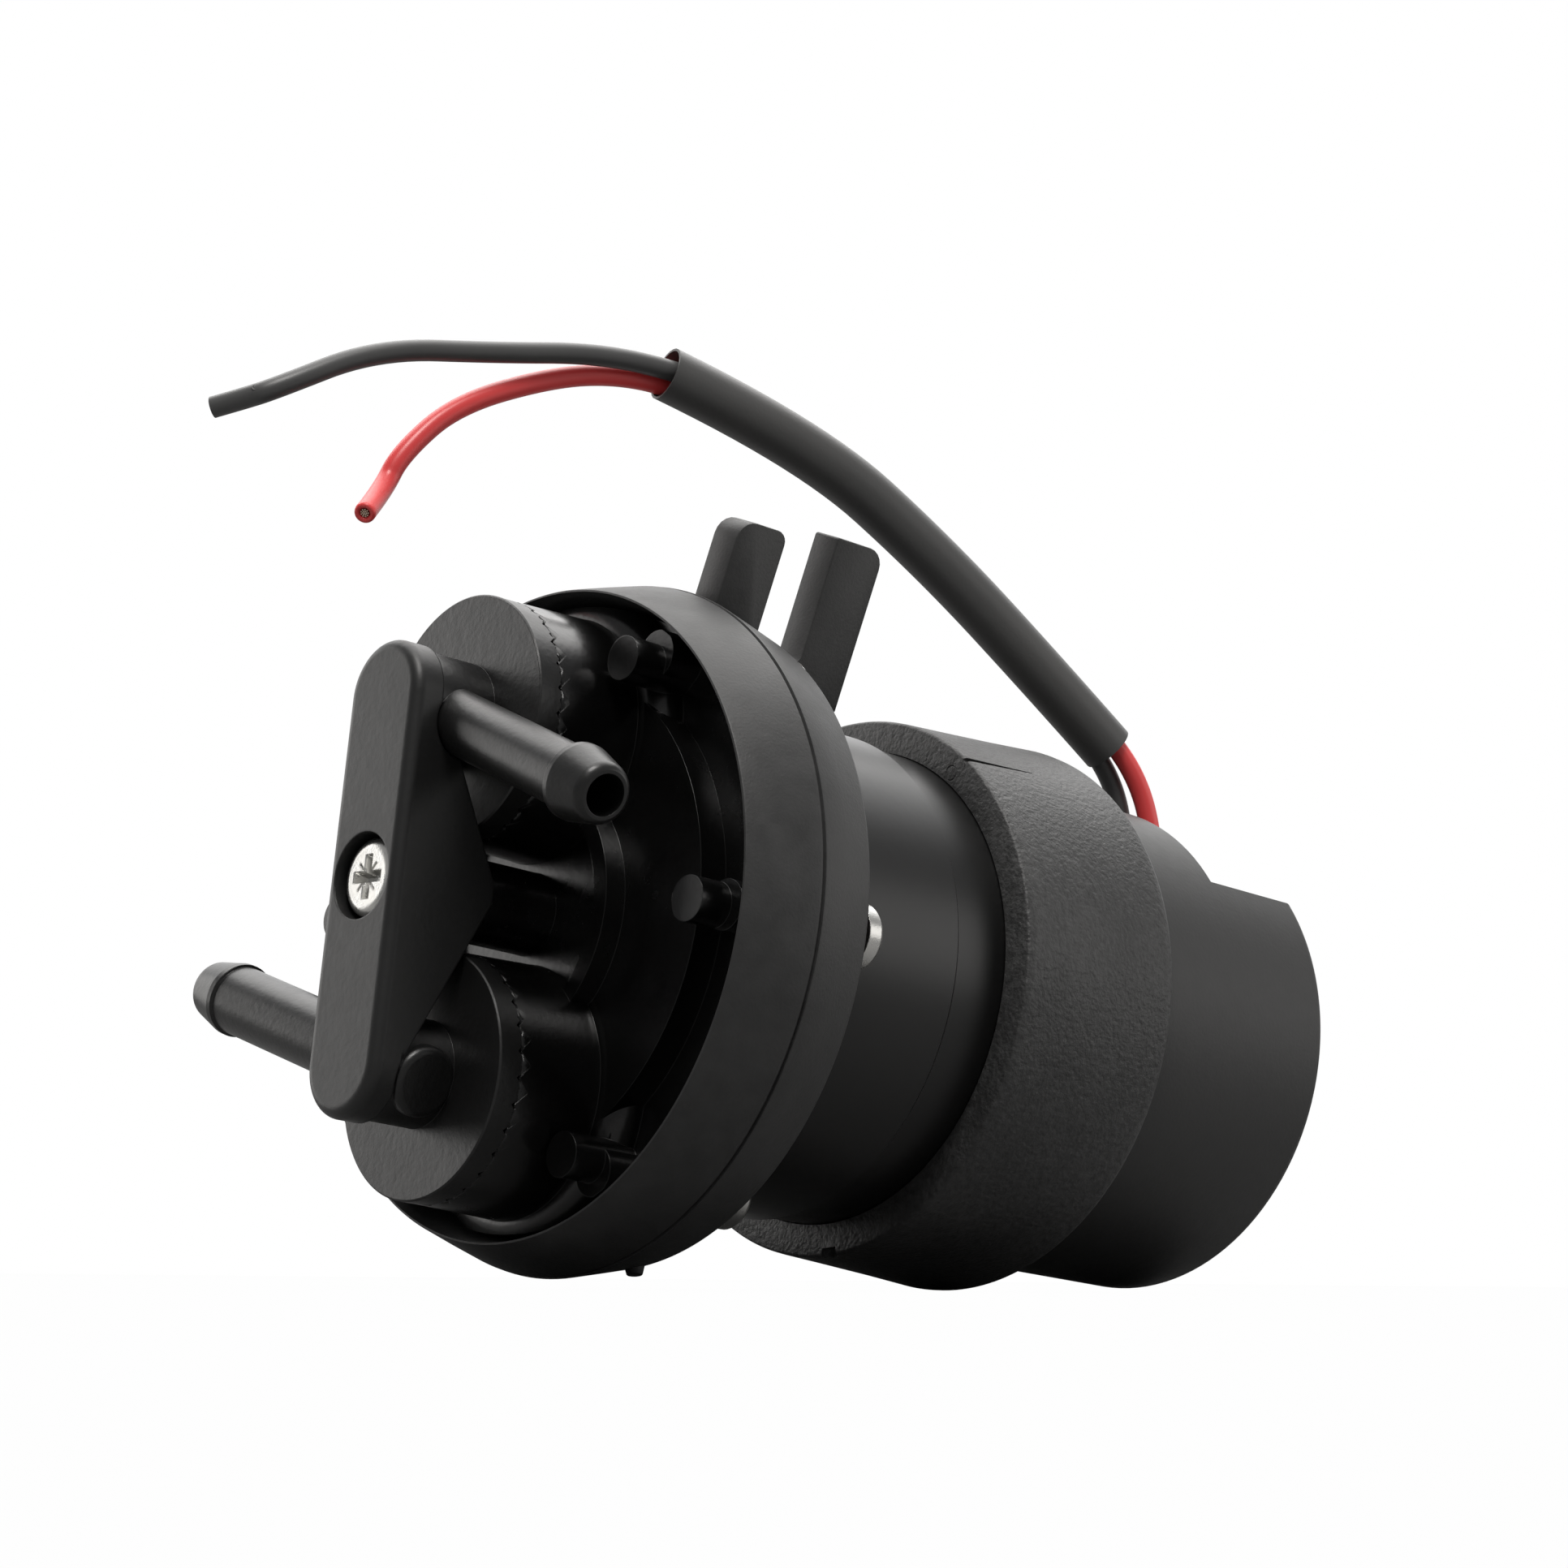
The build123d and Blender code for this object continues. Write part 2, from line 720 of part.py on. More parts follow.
# Pull rod: nut thread at the front, shoulder behind the rear washer, and a
# thin trip end that works the contact arm
with BuildPart() as pull_rod:
    shoulder_x = diaphragm_rear_x + washer
    with BuildSketch(Plane.XY):
        with BuildLine():
            Polyline(
                (trip_rod_rear_x, 0),
                (front_rear_x - washer - rod_nut - 0.6, 0),
                (front_rear_x - washer - rod_nut - 0.6, rod_r - 0.3),
                (front_rear_x - washer - rod_nut - 0.3, rod_r),
                (shoulder_x, rod_r),
                (shoulder_x, rod_r + 0.8),
                (shoulder_x + 1.0, rod_r + 0.8),
                (shoulder_x + 1.0, rod_r),
                (plunger_rear_x, rod_r),
                (plunger_rear_x, trip_rod_r),
                (trip_rod_rear_x - trip_rod_r, trip_rod_r),
            )
            RadiusArc(
                (trip_rod_rear_x - trip_rod_r, trip_rod_r),
                (trip_rod_rear_x, 0),
                trip_rod_r,
            )
        make_face()
    revolve(axis=Axis.X)
save(pull_rod, "pull_rod")

# Steel plunger on the rod, with shallow oil grooves
with BuildPart() as plunger:
    with BuildSketch(cross_section(plunger_front_x)):
        Circle(plunger_r)
        Circle(rod_r + running_gap, mode=Mode.SUBTRACT)
    extrude(amount=plunger_rear_x - plunger_front_x)
    for share in (0.25, 0.5, 0.75):
        groove_x = plunger_front_x + share * (plunger_rear_x - plunger_front_x)
        with BuildSketch(cross_section(groove_x)):
            Circle(plunger_r + 1)
            Circle(plunger_r - 0.5, mode=Mode.SUBTRACT)
        extrude(amount=1.0, mode=Mode.SUBTRACT)
save(plunger, "plunger")

# Brass tube that the plunger slides in
with BuildPart() as core_tube:
    with BuildSketch(cross_section(core_tube_front_x)):
        Circle(core_tube_r)
        Circle(core_bore_r, mode=Mode.SUBTRACT)
    extrude(amount=core_tube_rear_x - core_tube_front_x)
save(core_tube, "core_tube")

# Steel stop in the rear end of the core tube, which the spring pushes from
with BuildPart() as spring_stop:
    with BuildSketch(cross_section(stop_front_x)):
        Circle(core_bore_r - running_gap)
        Circle(trip_rod_r + slide_gap, mode=Mode.SUBTRACT)
    extrude(amount=core_tube_rear_x - stop_front_x)
save(spring_stop, "spring_stop")

# Return spring between the plunger and the stop
with BuildPart() as return_spring:
    spring_length = stop_front_x - plunger_rear_x - 0.1
    spring_coil = Helix(
        pitch=(spring_length - 2 * spring_wire_r) / spring_turns,
        height=spring_length - 2 * spring_wire_r,
        radius=spring_r,
        center=(plunger_rear_x + 0.05 + spring_wire_r, 0, 0),
        direction=(1, 0, 0),
    )
    with BuildSketch(Plane(spring_coil @ 0, z_dir=spring_coil % 0)):
        Circle(spring_wire_r)
    sweep(path=spring_coil, is_frenet=True)
save(return_spring, "return_spring")

# Coil bobbin, and the winding on it as one plain body, because it is hidden
with BuildPart() as coil_bobbin:
    with BuildSketch(Plane.XY):
        with BuildLine():
            Polyline(
                (bobbin_front_x, core_tube_r + slide_gap),
                (bobbin_front_x, bobbin_flange_r),
                (bobbin_front_x + bobbin_flange, bobbin_flange_r),
                (bobbin_front_x + bobbin_flange, core_tube_r + slide_gap + bobbin_wall),
                (bobbin_rear_x - bobbin_flange, core_tube_r + slide_gap + bobbin_wall),
                (bobbin_rear_x - bobbin_flange, bobbin_flange_r),
                (bobbin_rear_x, bobbin_flange_r),
                (bobbin_rear_x, core_tube_r + slide_gap),
                close=True,
            )
        make_face()
    revolve(axis=Axis.X)
save(coil_bobbin, "coil_bobbin")

with BuildPart() as coil_winding:
    with BuildSketch(cross_section(bobbin_front_x + bobbin_flange + slide_gap)):
        Circle(bobbin_flange_r - winding_gap)
        Circle(core_tube_r + 2 * slide_gap + bobbin_wall, mode=Mode.SUBTRACT)
    extrude(amount=bobbin_rear_x - bobbin_front_x - 2 * bobbin_flange - 2 * slide_gap)
save(coil_winding, "coil_winding")


def make_pole_plate(label, x):
    """A steel disc that closes the magnetic circuit at one end of the coil."""
    with BuildPart() as plate:
        with BuildSketch(cross_section(x)):
            Circle(can_inner_r - slide_gap)
            Circle(core_tube_r + slide_gap, mode=Mode.SUBTRACT)
        extrude(amount=pole_plate)
    save(plate, label)


make_pole_plate("front_pole_plate", bobbin_front_x - pole_plate)
make_pole_plate("rear_pole_plate", bobbin_rear_x)

# Rear flange: clamps the diaphragm, carries the six screw columns, and its
# spigot locates the solenoid can
with BuildPart() as rear_flange:
    with BuildSketch(Plane.XY):
        with BuildLine():
            Polyline(
                (diaphragm_rear_x, chamber_r),
                (diaphragm_rear_x, flange_r),
                (groove_front_x, flange_r),
                (groove_front_x, groove_r),
                (groove_rear_x, groove_r),
                (groove_rear_x, flange_r),
                (rear_plate_x, flange_r),
                (rear_plate_x, can_inner_r - slide_gap),
                (spigot_rear_x, can_inner_r - slide_gap),
                (spigot_rear_x, can_inner_r - slide_gap - spigot_thickness),
                (web_x, can_inner_r - slide_gap - spigot_thickness),
                (web_x, rod_r + 0.9),
                (rear_recess_x, rod_r + 0.9),
                (rear_recess_x, chamber_r),
                close=True,
            )
        make_face()
    revolve(axis=Axis.X)
    with BuildSketch(cross_section(rear_plate_x)):
        with PolarLocations(screw_circle_r, screw_count, screw_turn):
            Circle(column_r)
        Circle(flange_r, mode=Mode.INTERSECT)
        Circle(can_front_r + seat_gap, mode=Mode.SUBTRACT)
    extrude(amount=column_rear_x - rear_plate_x)
    with BuildSketch(cross_section(diaphragm_rear_x)):
        with PolarLocations(screw_circle_r, screw_count, screw_turn):
            Circle(flange_screw_r + slide_gap)
    extrude(amount=column_rear_x - diaphragm_rear_x, mode=Mode.SUBTRACT)
save(rear_flange, "rear_flange")

# Six zinc-plated pan head screws, driven in from the rear
with BuildPart() as flange_screw:
    head_rear_x = column_rear_x + flange_screw_head_height
    with BuildSketch(Plane.XY):
        with BuildLine():
            Polyline(
                (head_rear_x - 0.9, flange_screw_head_r),
                (column_rear_x, flange_screw_head_r),
                (column_rear_x, flange_screw_r),
                (flange_screw_tip_x + 0.5, flange_screw_r),
                (flange_screw_tip_x, flange_screw_r - 0.5),
                (flange_screw_tip_x, 0),
                (head_rear_x, 0),
                (head_rear_x, flange_screw_head_r - 1.6),
            )
            ThreePointArc(
                (head_rear_x, flange_screw_head_r - 1.6),
                (head_rear_x - 0.2, flange_screw_head_r - 0.6),
                (head_rear_x - 0.9, flange_screw_head_r),
            )
        make_face()
    revolve(axis=Axis.X)
    with BuildSketch(cross_section(head_rear_x - 1.2)):
        Rectangle(3.0, 0.9)
        Rectangle(0.9, 3.0)
    extrude(amount=2, mode=Mode.SUBTRACT)

with BuildPart() as flange_screws:
    for angle in screw_angles:
        across = screw_circle_r * cos(radians(angle))
        up = screw_circle_r * sin(radians(angle))
        add(flange_screw.part.moved(Location((0, across, up))))
save(flange_screws, "flange_screws")

# Rubber mounting ring with its moulded hanger fork. A rib inside the ring
# sits in the rear flange's groove.
with BuildPart() as mounting_ring:
    with BuildSketch(Plane.XY):
        with BuildLine():
            Polyline(
                (ring_rear_x, ring_shoulder_r - ring_edge_r),
                (ring_rear_x, ring_inner_r),
                (groove_rear_x - seat_gap, ring_inner_r),
                (groove_rear_x - seat_gap, groove_r + ring_rib_gap),
                (groove_front_x + seat_gap, groove_r + ring_rib_gap),
                (groove_front_x + seat_gap, ring_inner_r),
                (front_flange_x, ring_inner_r),
                (0, ring_lip_r),
                (0, ring_front_r),
                (ring_crest_x - 0.25, ring_crest_r - 0.1),
                (ring_crest_x - 0.1, ring_crest_r - 0.35),
                (ring_crest_x + 0.1, ring_crest_r - 0.35),
                (ring_crest_x + 0.25, ring_crest_r),
                (ring_rear_x - ring_edge_r, ring_shoulder_r),
            )
            RadiusArc(
                (ring_rear_x - ring_edge_r, ring_shoulder_r),
                (ring_rear_x, ring_shoulder_r - ring_edge_r),
                ring_edge_r,
            )
        make_face()
    revolve(axis=Axis.X)
    tilt = radians(fork_tilt)
    fork_plane = Plane(
        origin=(0, -fork_near * cos(tilt), -fork_near * sin(tilt)),
        x_dir=(1, 0, 0),
        z_dir=(0, cos(tilt), sin(tilt)),
    )
    front_prong_rear = front_prong_x + front_prong_width
    rear_prong_rear = rear_prong_x + rear_prong_width
    with BuildSketch(fork_plane) as fork_outline:
        with BuildLine():
            Polyline(
                (front_prong_x, -ring_inner_r - 0.6),
                (front_prong_x, -front_prong_top),
                (front_prong_rear, -front_prong_top),
                (front_prong_rear, -fork_bridge_top),
                (rear_prong_x, -fork_bridge_top),
                (rear_prong_x, -rear_prong_top),
                (rear_prong_rear, -rear_prong_top),
                (rear_prong_rear, -fork_root),
                (ring_rear_x - 0.4, -fork_root),
                (ring_rear_x - 0.4, -ring_inner_r - 0.6),
                close=True,
            )
        make_face()
        front_top = fork_outline.vertices().group_by(Axis.Y)[1].sort_by(Axis.X)
        fillet(front_top[0], front_prong_nose_r)
        front_top = fork_outline.vertices().group_by(Axis.Y)[1].sort_by(Axis.X)
        fillet(front_top[-1], front_prong_back_r)
        rear_top = fork_outline.vertices().group_by(Axis.Y)[0].sort_by(Axis.X)
        fillet(rear_top[0], rear_prong_nose_r)
        rear_top = fork_outline.vertices().group_by(Axis.Y)[0].sort_by(Axis.X)
        fillet(rear_top[-1], rear_prong_back_r)
    extrude(amount=fork_thickness)
    nub = radians(ring_nub_angle)
    nub_plane = Plane(
        origin=(ring_nub_x, (ring_shoulder_r - 0.7) * cos(nub), (ring_shoulder_r - 0.7) * sin(nub)),
        z_dir=(0, cos(nub), sin(nub)),
    )
    with BuildSketch(nub_plane):
        Circle(ring_nub_r)
    extrude(amount=0.7 + ring_nub_height, taper=15)
save(mounting_ring, "mounting_ring")

# Solenoid can: drawn steel tube, necked down behind its front length
with BuildPart() as solenoid_can:
    with BuildSketch(Plane.XY):
        with BuildLine():
            Polyline(
                (rear_plate_x, can_inner_r),
                (rear_plate_x, can_front_r - 0.4),
                (rear_plate_x + 0.4, can_front_r),
                (can_step_x, can_front_r),
                (can_step_x + 0.6, can_r),
                (can_rear_x, can_r),
                (can_rear_x, can_inner_r),
                close=True,
            )
        make_face()
    revolve(axis=Axis.X)
save(solenoid_can, "solenoid_can")

# Rear cap: moulded cup over the contact breaker, cut flat on top behind the
# full round part, with a slot for the lead grommet
lead_u = Vector(-cos(radians(lead_plane_turn)), sin(radians(lead_plane_turn)), 0)
lead_n = Vector(sin(radians(lead_plane_turn)), cos(radians(lead_plane_turn)), 0)


def lead_point(along, up, across):
    """A point of a lead's route in the part's own axes."""
    return lead_u * along + lead_n * (lead_plane + across) + Vector(0, 0, up)


red_foot = lead_point(*red_route[0])
black_foot = lead_point(*black_route[0])
grommet_centre = (red_foot + black_foot) / 2
grommet_span = (black_foot - red_foot).length
grommet_turn = degrees(atan2(black_foot.Y - red_foot.Y, black_foot.X - red_foot.X))


def grommet_plane(z):
    """Level plane under the grommet's middle."""
    return Plane(origin=(grommet_centre.X, grommet_centre.Y, z))


with BuildPart() as rear_cap:
    with BuildSketch(Plane.XY):
        with BuildLine():
            Polyline(
                (cap_rear_x, 0),
                (cap_front_x, 0),
                (cap_front_x, rear_cap_r),
                (cap_rear_x - rear_edge_r, rear_cap_r),
            )
            RadiusArc(
                (cap_rear_x - rear_edge_r, rear_cap_r),
                (cap_rear_x, rear_cap_r - rear_edge_r),
                rear_edge_r,
            )
            Line((cap_rear_x, rear_cap_r - rear_edge_r), (cap_rear_x, 0))
        make_face()
    revolve(axis=Axis.X)
    with BuildSketch(Plane.XZ.offset(-rear_cap_r)):
        with BuildLine():
            Polyline(
                (cap_rear_x, flat_z - rear_edge_r),
                (cap_rear_x + 1, flat_z - rear_edge_r),
                (cap_rear_x + 1, rear_cap_r + 1),
                (flat_x, rear_cap_r + 1),
                (flat_x, flat_z),
                (cap_rear_x - rear_edge_r, flat_z),
            )
            RadiusArc(
                (cap_rear_x - rear_edge_r, flat_z),
                (cap_rear_x, flat_z - rear_edge_r),
                rear_edge_r,
            )
        make_face()
    extrude(amount=2 * rear_cap_r, mode=Mode.SUBTRACT)
    with BuildSketch(cross_section(cap_front_x)):
        Circle(cap_bore_r)
    extrude(amount=can_rear_x + slide_gap - cap_front_x, mode=Mode.SUBTRACT)
    with BuildSketch(cross_section(can_rear_x)):
        Circle(cap_inner_r)
    extrude(amount=flat_x - flat_wall - can_rear_x, mode=Mode.SUBTRACT)
    with BuildSketch(cross_section(flat_x - flat_wall - 1)):
        Circle(cap_inner_r)
        with Locations((0, flat_z - flat_wall + rear_cap_r)):
            Rectangle(4 * rear_cap_r, 2 * rear_cap_r, mode=Mode.SUBTRACT)
    extrude(amount=cap_rear_x - rear_cap_wall - flat_x + flat_wall + 1, mode=Mode.SUBTRACT)
    with BuildSketch(grommet_plane(flat_z - flat_wall - 1)):
        SlotCenterToCenter(grommet_span, 2 * grommet_neck_r + 0.2, rotation=grommet_turn)
    extrude(amount=flat_wall + 2, mode=Mode.SUBTRACT)
save(rear_cap, "rear_cap")

# Rubber grommet that both leads pass through
with BuildPart() as lead_grommet:
    with BuildSketch(grommet_plane(flat_z)):
        SlotCenterToCenter(grommet_span, 2 * grommet_flange_r, rotation=grommet_turn)
    extrude(amount=grommet_flange)
    fillet(lead_grommet.faces().sort_by(Axis.Z)[-1].edges(), 0.6)
    with BuildSketch(grommet_plane(flat_z - flat_wall)):
        SlotCenterToCenter(grommet_span, 2 * grommet_neck_r, rotation=grommet_turn)
    extrude(amount=flat_wall)
    with BuildSketch(grommet_plane(flat_z - flat_wall - 1)):
        SlotCenterToCenter(grommet_span, 2 * grommet_neck_r + 1, rotation=grommet_turn)
    extrude(amount=1)
    with BuildSketch(Plane.XY.offset(flat_z - flat_wall - 2)):
        with Locations((red_foot.X, red_foot.Y), (black_foot.X, black_foot.Y)):
            Circle(lead_r + 0.25)
    extrude(amount=flat_wall + grommet_flange + 3, mode=Mode.SUBTRACT)
save(lead_grommet, "lead_grommet")

# Thick rubber sleeve, with the slit and the notch of a reused moulding
with BuildPart() as rubber_sleeve:
    with BuildSketch(Plane.XY):
        with BuildLine():
            Polyline(
                (sleeve_front_x, sleeve_bore_r),
                (sleeve_front_x, sleeve_front_r - 0.5),
                (sleeve_front_x + 0.5, sleeve_front_r),
                (sleeve_rear_x - 0.6, sleeve_rear_r),
                (sleeve_rear_x, sleeve_rear_r - 0.6),
                (sleeve_rear_x, rear_cap_r + slide_gap),
                (cap_front_x - slide_gap, rear_cap_r + slide_gap),
                (cap_front_x - slide_gap, sleeve_bore_r),
                close=True,
            )
        make_face()
    revolve(axis=Axis.X)
    slit = radians(sleeve_slit_angle)
    slit_plane = Plane(
        origin=(sleeve_front_x - 0.1, (sleeve_front_r - 1) * cos(slit), (sleeve_front_r - 1) * sin(slit)),
        x_dir=(1, 0, 0),
        z_dir=(0, cos(slit), sin(slit)),
    )
    with BuildSketch(slit_plane):
        with Locations((sleeve_slit_length / 2, 0)):
            Rectangle(sleeve_slit_length, 0.15)
    extrude(amount=3, mode=Mode.SUBTRACT)
    notch = radians(sleeve_notch_angle)
    notch_plane = Plane(
        origin=(sleeve_front_x, (sleeve_front_r - 0.9) * cos(notch), (sleeve_front_r - 0.9) * sin(notch)),
        x_dir=(1, 0, 0),
        z_dir=(0, cos(notch), sin(notch)),
    )
    with BuildSketch(notch_plane):
        Circle(1.0)
    extrude(amount=3, mode=Mode.SUBTRACT)
save(rubber_sleeve, "rubber_sleeve")

# Contact breaker base: moulded disc on the core tube's end, with two ears for
# the pivot pin
with BuildPart() as breaker_base:
    ear_half = arm_half_width + 0.4
    with BuildSketch(cross_section(base_front_x)):
        Circle(cap_inner_r - seat_gap)
        Circle(trip_rod_r + 0.4, mode=Mode.SUBTRACT)
    extrude(amount=base_rear_x - base_front_x)
    with BuildSketch(cross_section(base_rear_x)):
        with Locations((ear_half + 0.9, -pivot_drop), (-ear_half - 0.9, -pivot_drop)):
            Rectangle(1.8, 5)
    extrude(amount=pivot_x + 2.2 - base_rear_x)
    with BuildSketch(Plane.XZ.offset(-ear_half - 5)):
        with Locations((pivot_x, -pivot_drop)):
            Circle(pivot_pin_r + running_gap)
    extrude(amount=2 * ear_half + 10, mode=Mode.SUBTRACT)
save(breaker_base, "contact_base")

# Steel pin that the contact arm turns on
with BuildPart() as pivot_pin:
    with BuildSketch(Plane.XZ.offset(-ear_half - 1.8)):
        with Locations((pivot_x, -pivot_drop)):
            Circle(pivot_pin_r)
    extrude(amount=2 * ear_half + 3.6)
save(pivot_pin, "pivot_pin")

# Contact arm: the pull rod's tip tips it rearward and opens the contacts
with BuildPart() as contact_arm:
    with BuildSketch(Plane.XZ.offset(-arm_half_width)):
        with Locations((pivot_x, -pivot_drop)):
            Circle(pivot_eye_r)
        with Locations((pivot_x, (arm_top_z - pivot_drop) / 2)):
            Rectangle(arm_thickness, arm_top_z + pivot_drop)
        with Locations((pivot_x, -pivot_drop)):
            Circle(pivot_pin_r + running_gap, mode=Mode.SUBTRACT)
    extrude(amount=2 * arm_half_width)
    with BuildSketch(cross_section(arm_front_x - contact_pad, z=contact_z)):
        Circle(contact_r)
    extrude(amount=contact_pad)
save(contact_arm, "contact_arm")

# Fixed contact on the base, closed against the arm's contact at rest
with BuildPart() as fixed_contact:
    with BuildSketch(cross_section(base_rear_x, z=contact_z)):
        Circle(contact_r + 0.2)
    extrude(amount=arm_front_x - contact_pad - contact_gap - base_rear_x)
save(fixed_contact, "fixed_contact")


def make_terminal(label, foot):
    """A brass strip from the contact base back to the foot of one lead."""
    with BuildPart() as strip:
        with BuildSketch(Plane.XY.offset(terminal_top_z - terminal_thickness)):
            with Locations(((base_rear_x + foot.X + 1.6) / 2, foot.Y)):
                Rectangle(foot.X + 1.6 - base_rear_x, terminal_width)
        extrude(amount=terminal_thickness)
        with BuildSketch(cross_section(base_rear_x, y=foot.Y, z=terminal_top_z)):
            with Locations((0, -terminal_height / 2)):
                Rectangle(terminal_width, terminal_height)
        extrude(amount=terminal_thickness)
    save(strip, label)


make_terminal("red_lead_terminal", red_foot)
make_terminal("black_lead_terminal", black_foot)


def bend_radii(points):
    """Arc radius at each corner: 0.45 of the shorter run over tan(half turn)."""
    radii = []
    for before, corner, after in zip(points, points[1:], points[2:]):
        first, second = corner - before, after - corner
        half_turn = radians(first.get_angle(second)) / 2
        radii.append(0.45 * min(first.length, second.length) / tan(half_turn))
    return radii


def make_lead(label, route, outer_r, inner_r=0.0):
    """A free lead or sleeve: one tube swept along straight runs and arcs."""
    points = [lead_point(*place) for place in route]
    radii = bend_radii(points)
    with BuildPart() as tube:
        with BuildLine() as centre:
            FilletPolyline(*points, radius=radii)
        line = centre.wires()[0]
        with BuildSketch(Plane(line @ 0, z_dir=line % 0)):
            Circle(outer_r)
            if inner_r:
                Circle(inner_r, mode=Mode.SUBTRACT)
        sweep(path=line)
    save(tube, label)
    section = pi * (outer_r**2 - inner_r**2)
    print(label, "length", round(line.length, 1), "radii", [round(r, 1) for r in radii])
    print(label, "volume over section times length", round(tube.part.volume / (section * line.length), 4))


make_lead("red_lead", red_route, lead_r)
make_lead("black_lead", black_route, lead_r)
make_lead("lead_sleeve", lead_sleeve_route, lead_sleeve_r, lead_sleeve_r - lead_sleeve_wall)
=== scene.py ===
import bpy
from math import cos, pi, radians, sin
from mathutils import Matrix, Vector


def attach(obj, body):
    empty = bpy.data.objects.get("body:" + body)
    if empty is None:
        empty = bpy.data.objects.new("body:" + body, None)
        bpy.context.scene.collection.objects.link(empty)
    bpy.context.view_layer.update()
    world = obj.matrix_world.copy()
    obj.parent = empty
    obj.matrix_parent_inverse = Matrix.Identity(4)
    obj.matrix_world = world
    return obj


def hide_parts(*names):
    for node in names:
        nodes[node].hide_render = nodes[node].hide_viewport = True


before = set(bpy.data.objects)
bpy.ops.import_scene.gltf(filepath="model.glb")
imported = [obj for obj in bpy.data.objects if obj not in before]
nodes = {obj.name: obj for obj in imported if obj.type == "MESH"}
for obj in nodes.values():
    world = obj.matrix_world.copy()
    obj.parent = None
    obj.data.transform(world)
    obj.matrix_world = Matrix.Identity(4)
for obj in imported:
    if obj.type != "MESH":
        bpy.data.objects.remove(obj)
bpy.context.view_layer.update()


# Camera
# The photograph is taken from a little below the pump's middle, level with the
# table that it lies on, through a long lens and with a few degrees of roll.
camera_data = bpy.data.cameras.new("camera")
camera_data.lens = 91.57
camera_data.sensor_width = 36
camera_data.clip_start = 0.01
camera = bpy.data.objects.new("camera", camera_data)
bpy.context.scene.collection.objects.link(camera)
bpy.context.scene.camera = camera
ahead = Vector((0.6463, 0.7367, 0.1989)).normalized()
upward = Vector((-0.2029, -0.0853, 0.9755))
rightward = ahead.cross(upward).normalized()
upward = rightward.cross(ahead)
camera_x, camera_y, camera_z = -0.22775, -0.29507, -0.0607
camera.matrix_world = Matrix(
    (
        (rightward.x, upward.x, -ahead.x, camera_x),
        (rightward.y, upward.y, -ahead.y, camera_y),
        (rightward.z, upward.z, -ahead.z, camera_z),
        (0, 0, 0, 1),
    )
)


# Leads
# Two thin stranded copper wires in PVC, one red and one black, 2.15 mm over
# the insulation. They stand up from the rear cap on their own stiffness and
# twist half a turn inside their sleeving, to cut ends a hand's width away.
class Value:
    """A shader socket that arithmetic can be done with."""

    def __init__(self, tree, socket=None):
        self.tree = tree
        self.socket = socket

    def node(self, kind, sockets=(), out=0, stops=(), **settings):
        """Adds a node: its settings come first, then its sockets' values or links."""
        made = self.tree.nodes.new("ShaderNode" + kind)
        for name, value in settings.items():
            setattr(made, name, value)
        for place, (position, colour) in enumerate(stops):
            ramp = made.color_ramp.elements
            stop = ramp[place] if place < 2 else ramp.new(position)
            stop.position = position
            stop.color = colour
        for key, value in dict(sockets).items():
            if isinstance(value, Value):
                self.tree.links.new(value.socket, made.inputs[key])
            else:
                made.inputs[key].default_value = value
        return Value(self.tree, made.outputs[out]) if made.outputs else made

    def math(self, operation, first, second):
        return self.node("Math", {0: first, 1: second}, operation=operation)

    def __add__(self, other):
        return self.math("ADD", self, other)

    __radd__ = __add__

    def __sub__(self, other):
        return self.math("SUBTRACT", self, other)

    def __rsub__(self, other):
        return self.math("SUBTRACT", other, self)

    def __mul__(self, other):
        return self.math("MULTIPLY", self, other)

    __rmul__ = __mul__


def new_material(name):
    """An empty node material and a Value to build its nodes from."""
    material = bpy.data.materials.new(name)
    material.use_nodes = True
    material.node_tree.nodes.clear()
    return material, Value(material.node_tree)


def finish_material(start, surface):
    """Ends a material in its one surface shader."""
    start.node("OutputMaterial", {"Surface": surface})


def grey(level, blue=0.0):
    """A near-neutral colour with a touch of blue."""
    return (level, level * (1 + blue * 0.4), level * (1 + blue), 1)


def speckle(start, where, scale, detail=3.0):
    """Plain noise from 0 to 1."""
    return start.node("TexNoise", {"Vector": where, "Scale": scale, "Detail": detail})


def blend_colour(start, factor, first, second):
    """A colour that goes from the first to the second with the factor."""
    return start.node("Mix", {"Factor": factor, 6: first, 7: second}, out=2, data_type="RGBA")


def wire_material(name, deep, light, roughness):
    """Drawn PVC, thumbed duller in places."""
    material, start = new_material(name)
    where = start.node("TexCoord", out="Object")
    cloud = speckle(start, where, 160.0)
    tint = blend_colour(start, cloud, deep, light)
    surface = start.node(
        "BsdfPrincipled", {"Base Color": tint, "Roughness": roughness + 0.12 * cloud}
    )
    finish_material(start, surface)
    return material


lead_plane = 0.0138
lead_along = Vector((-0.9741208, 0.2260280, 0))
lead_across = Vector((0.2260280, 0.9741208, 0))


def lead_point(along, up, across):
    """A point of a lead's route, which lies near one upright plane."""
    return lead_along * along + lead_across * (lead_plane + across) + Vector((0, 0, up))


def lay_curve(name, route, radius):
    """A smooth round cord through the space round its route's points."""
    curve = bpy.data.curves.new(name, "CURVE")
    curve.dimensions = "3D"
    curve.resolution_u = 10
    curve.bevel_depth = radius
    curve.bevel_resolution = 6
    curve.use_fill_caps = True
    line = curve.splines.new("NURBS")
    line.points.add(len(route) - 1)
    for point, place in zip(line.points, route):
        point.co = (*lead_point(*place), 1)
    line.order_u = 3
    line.use_endpoint_u = True
    made = bpy.data.objects.new(name, curve)
    bpy.context.scene.collection.objects.link(made)
    return made


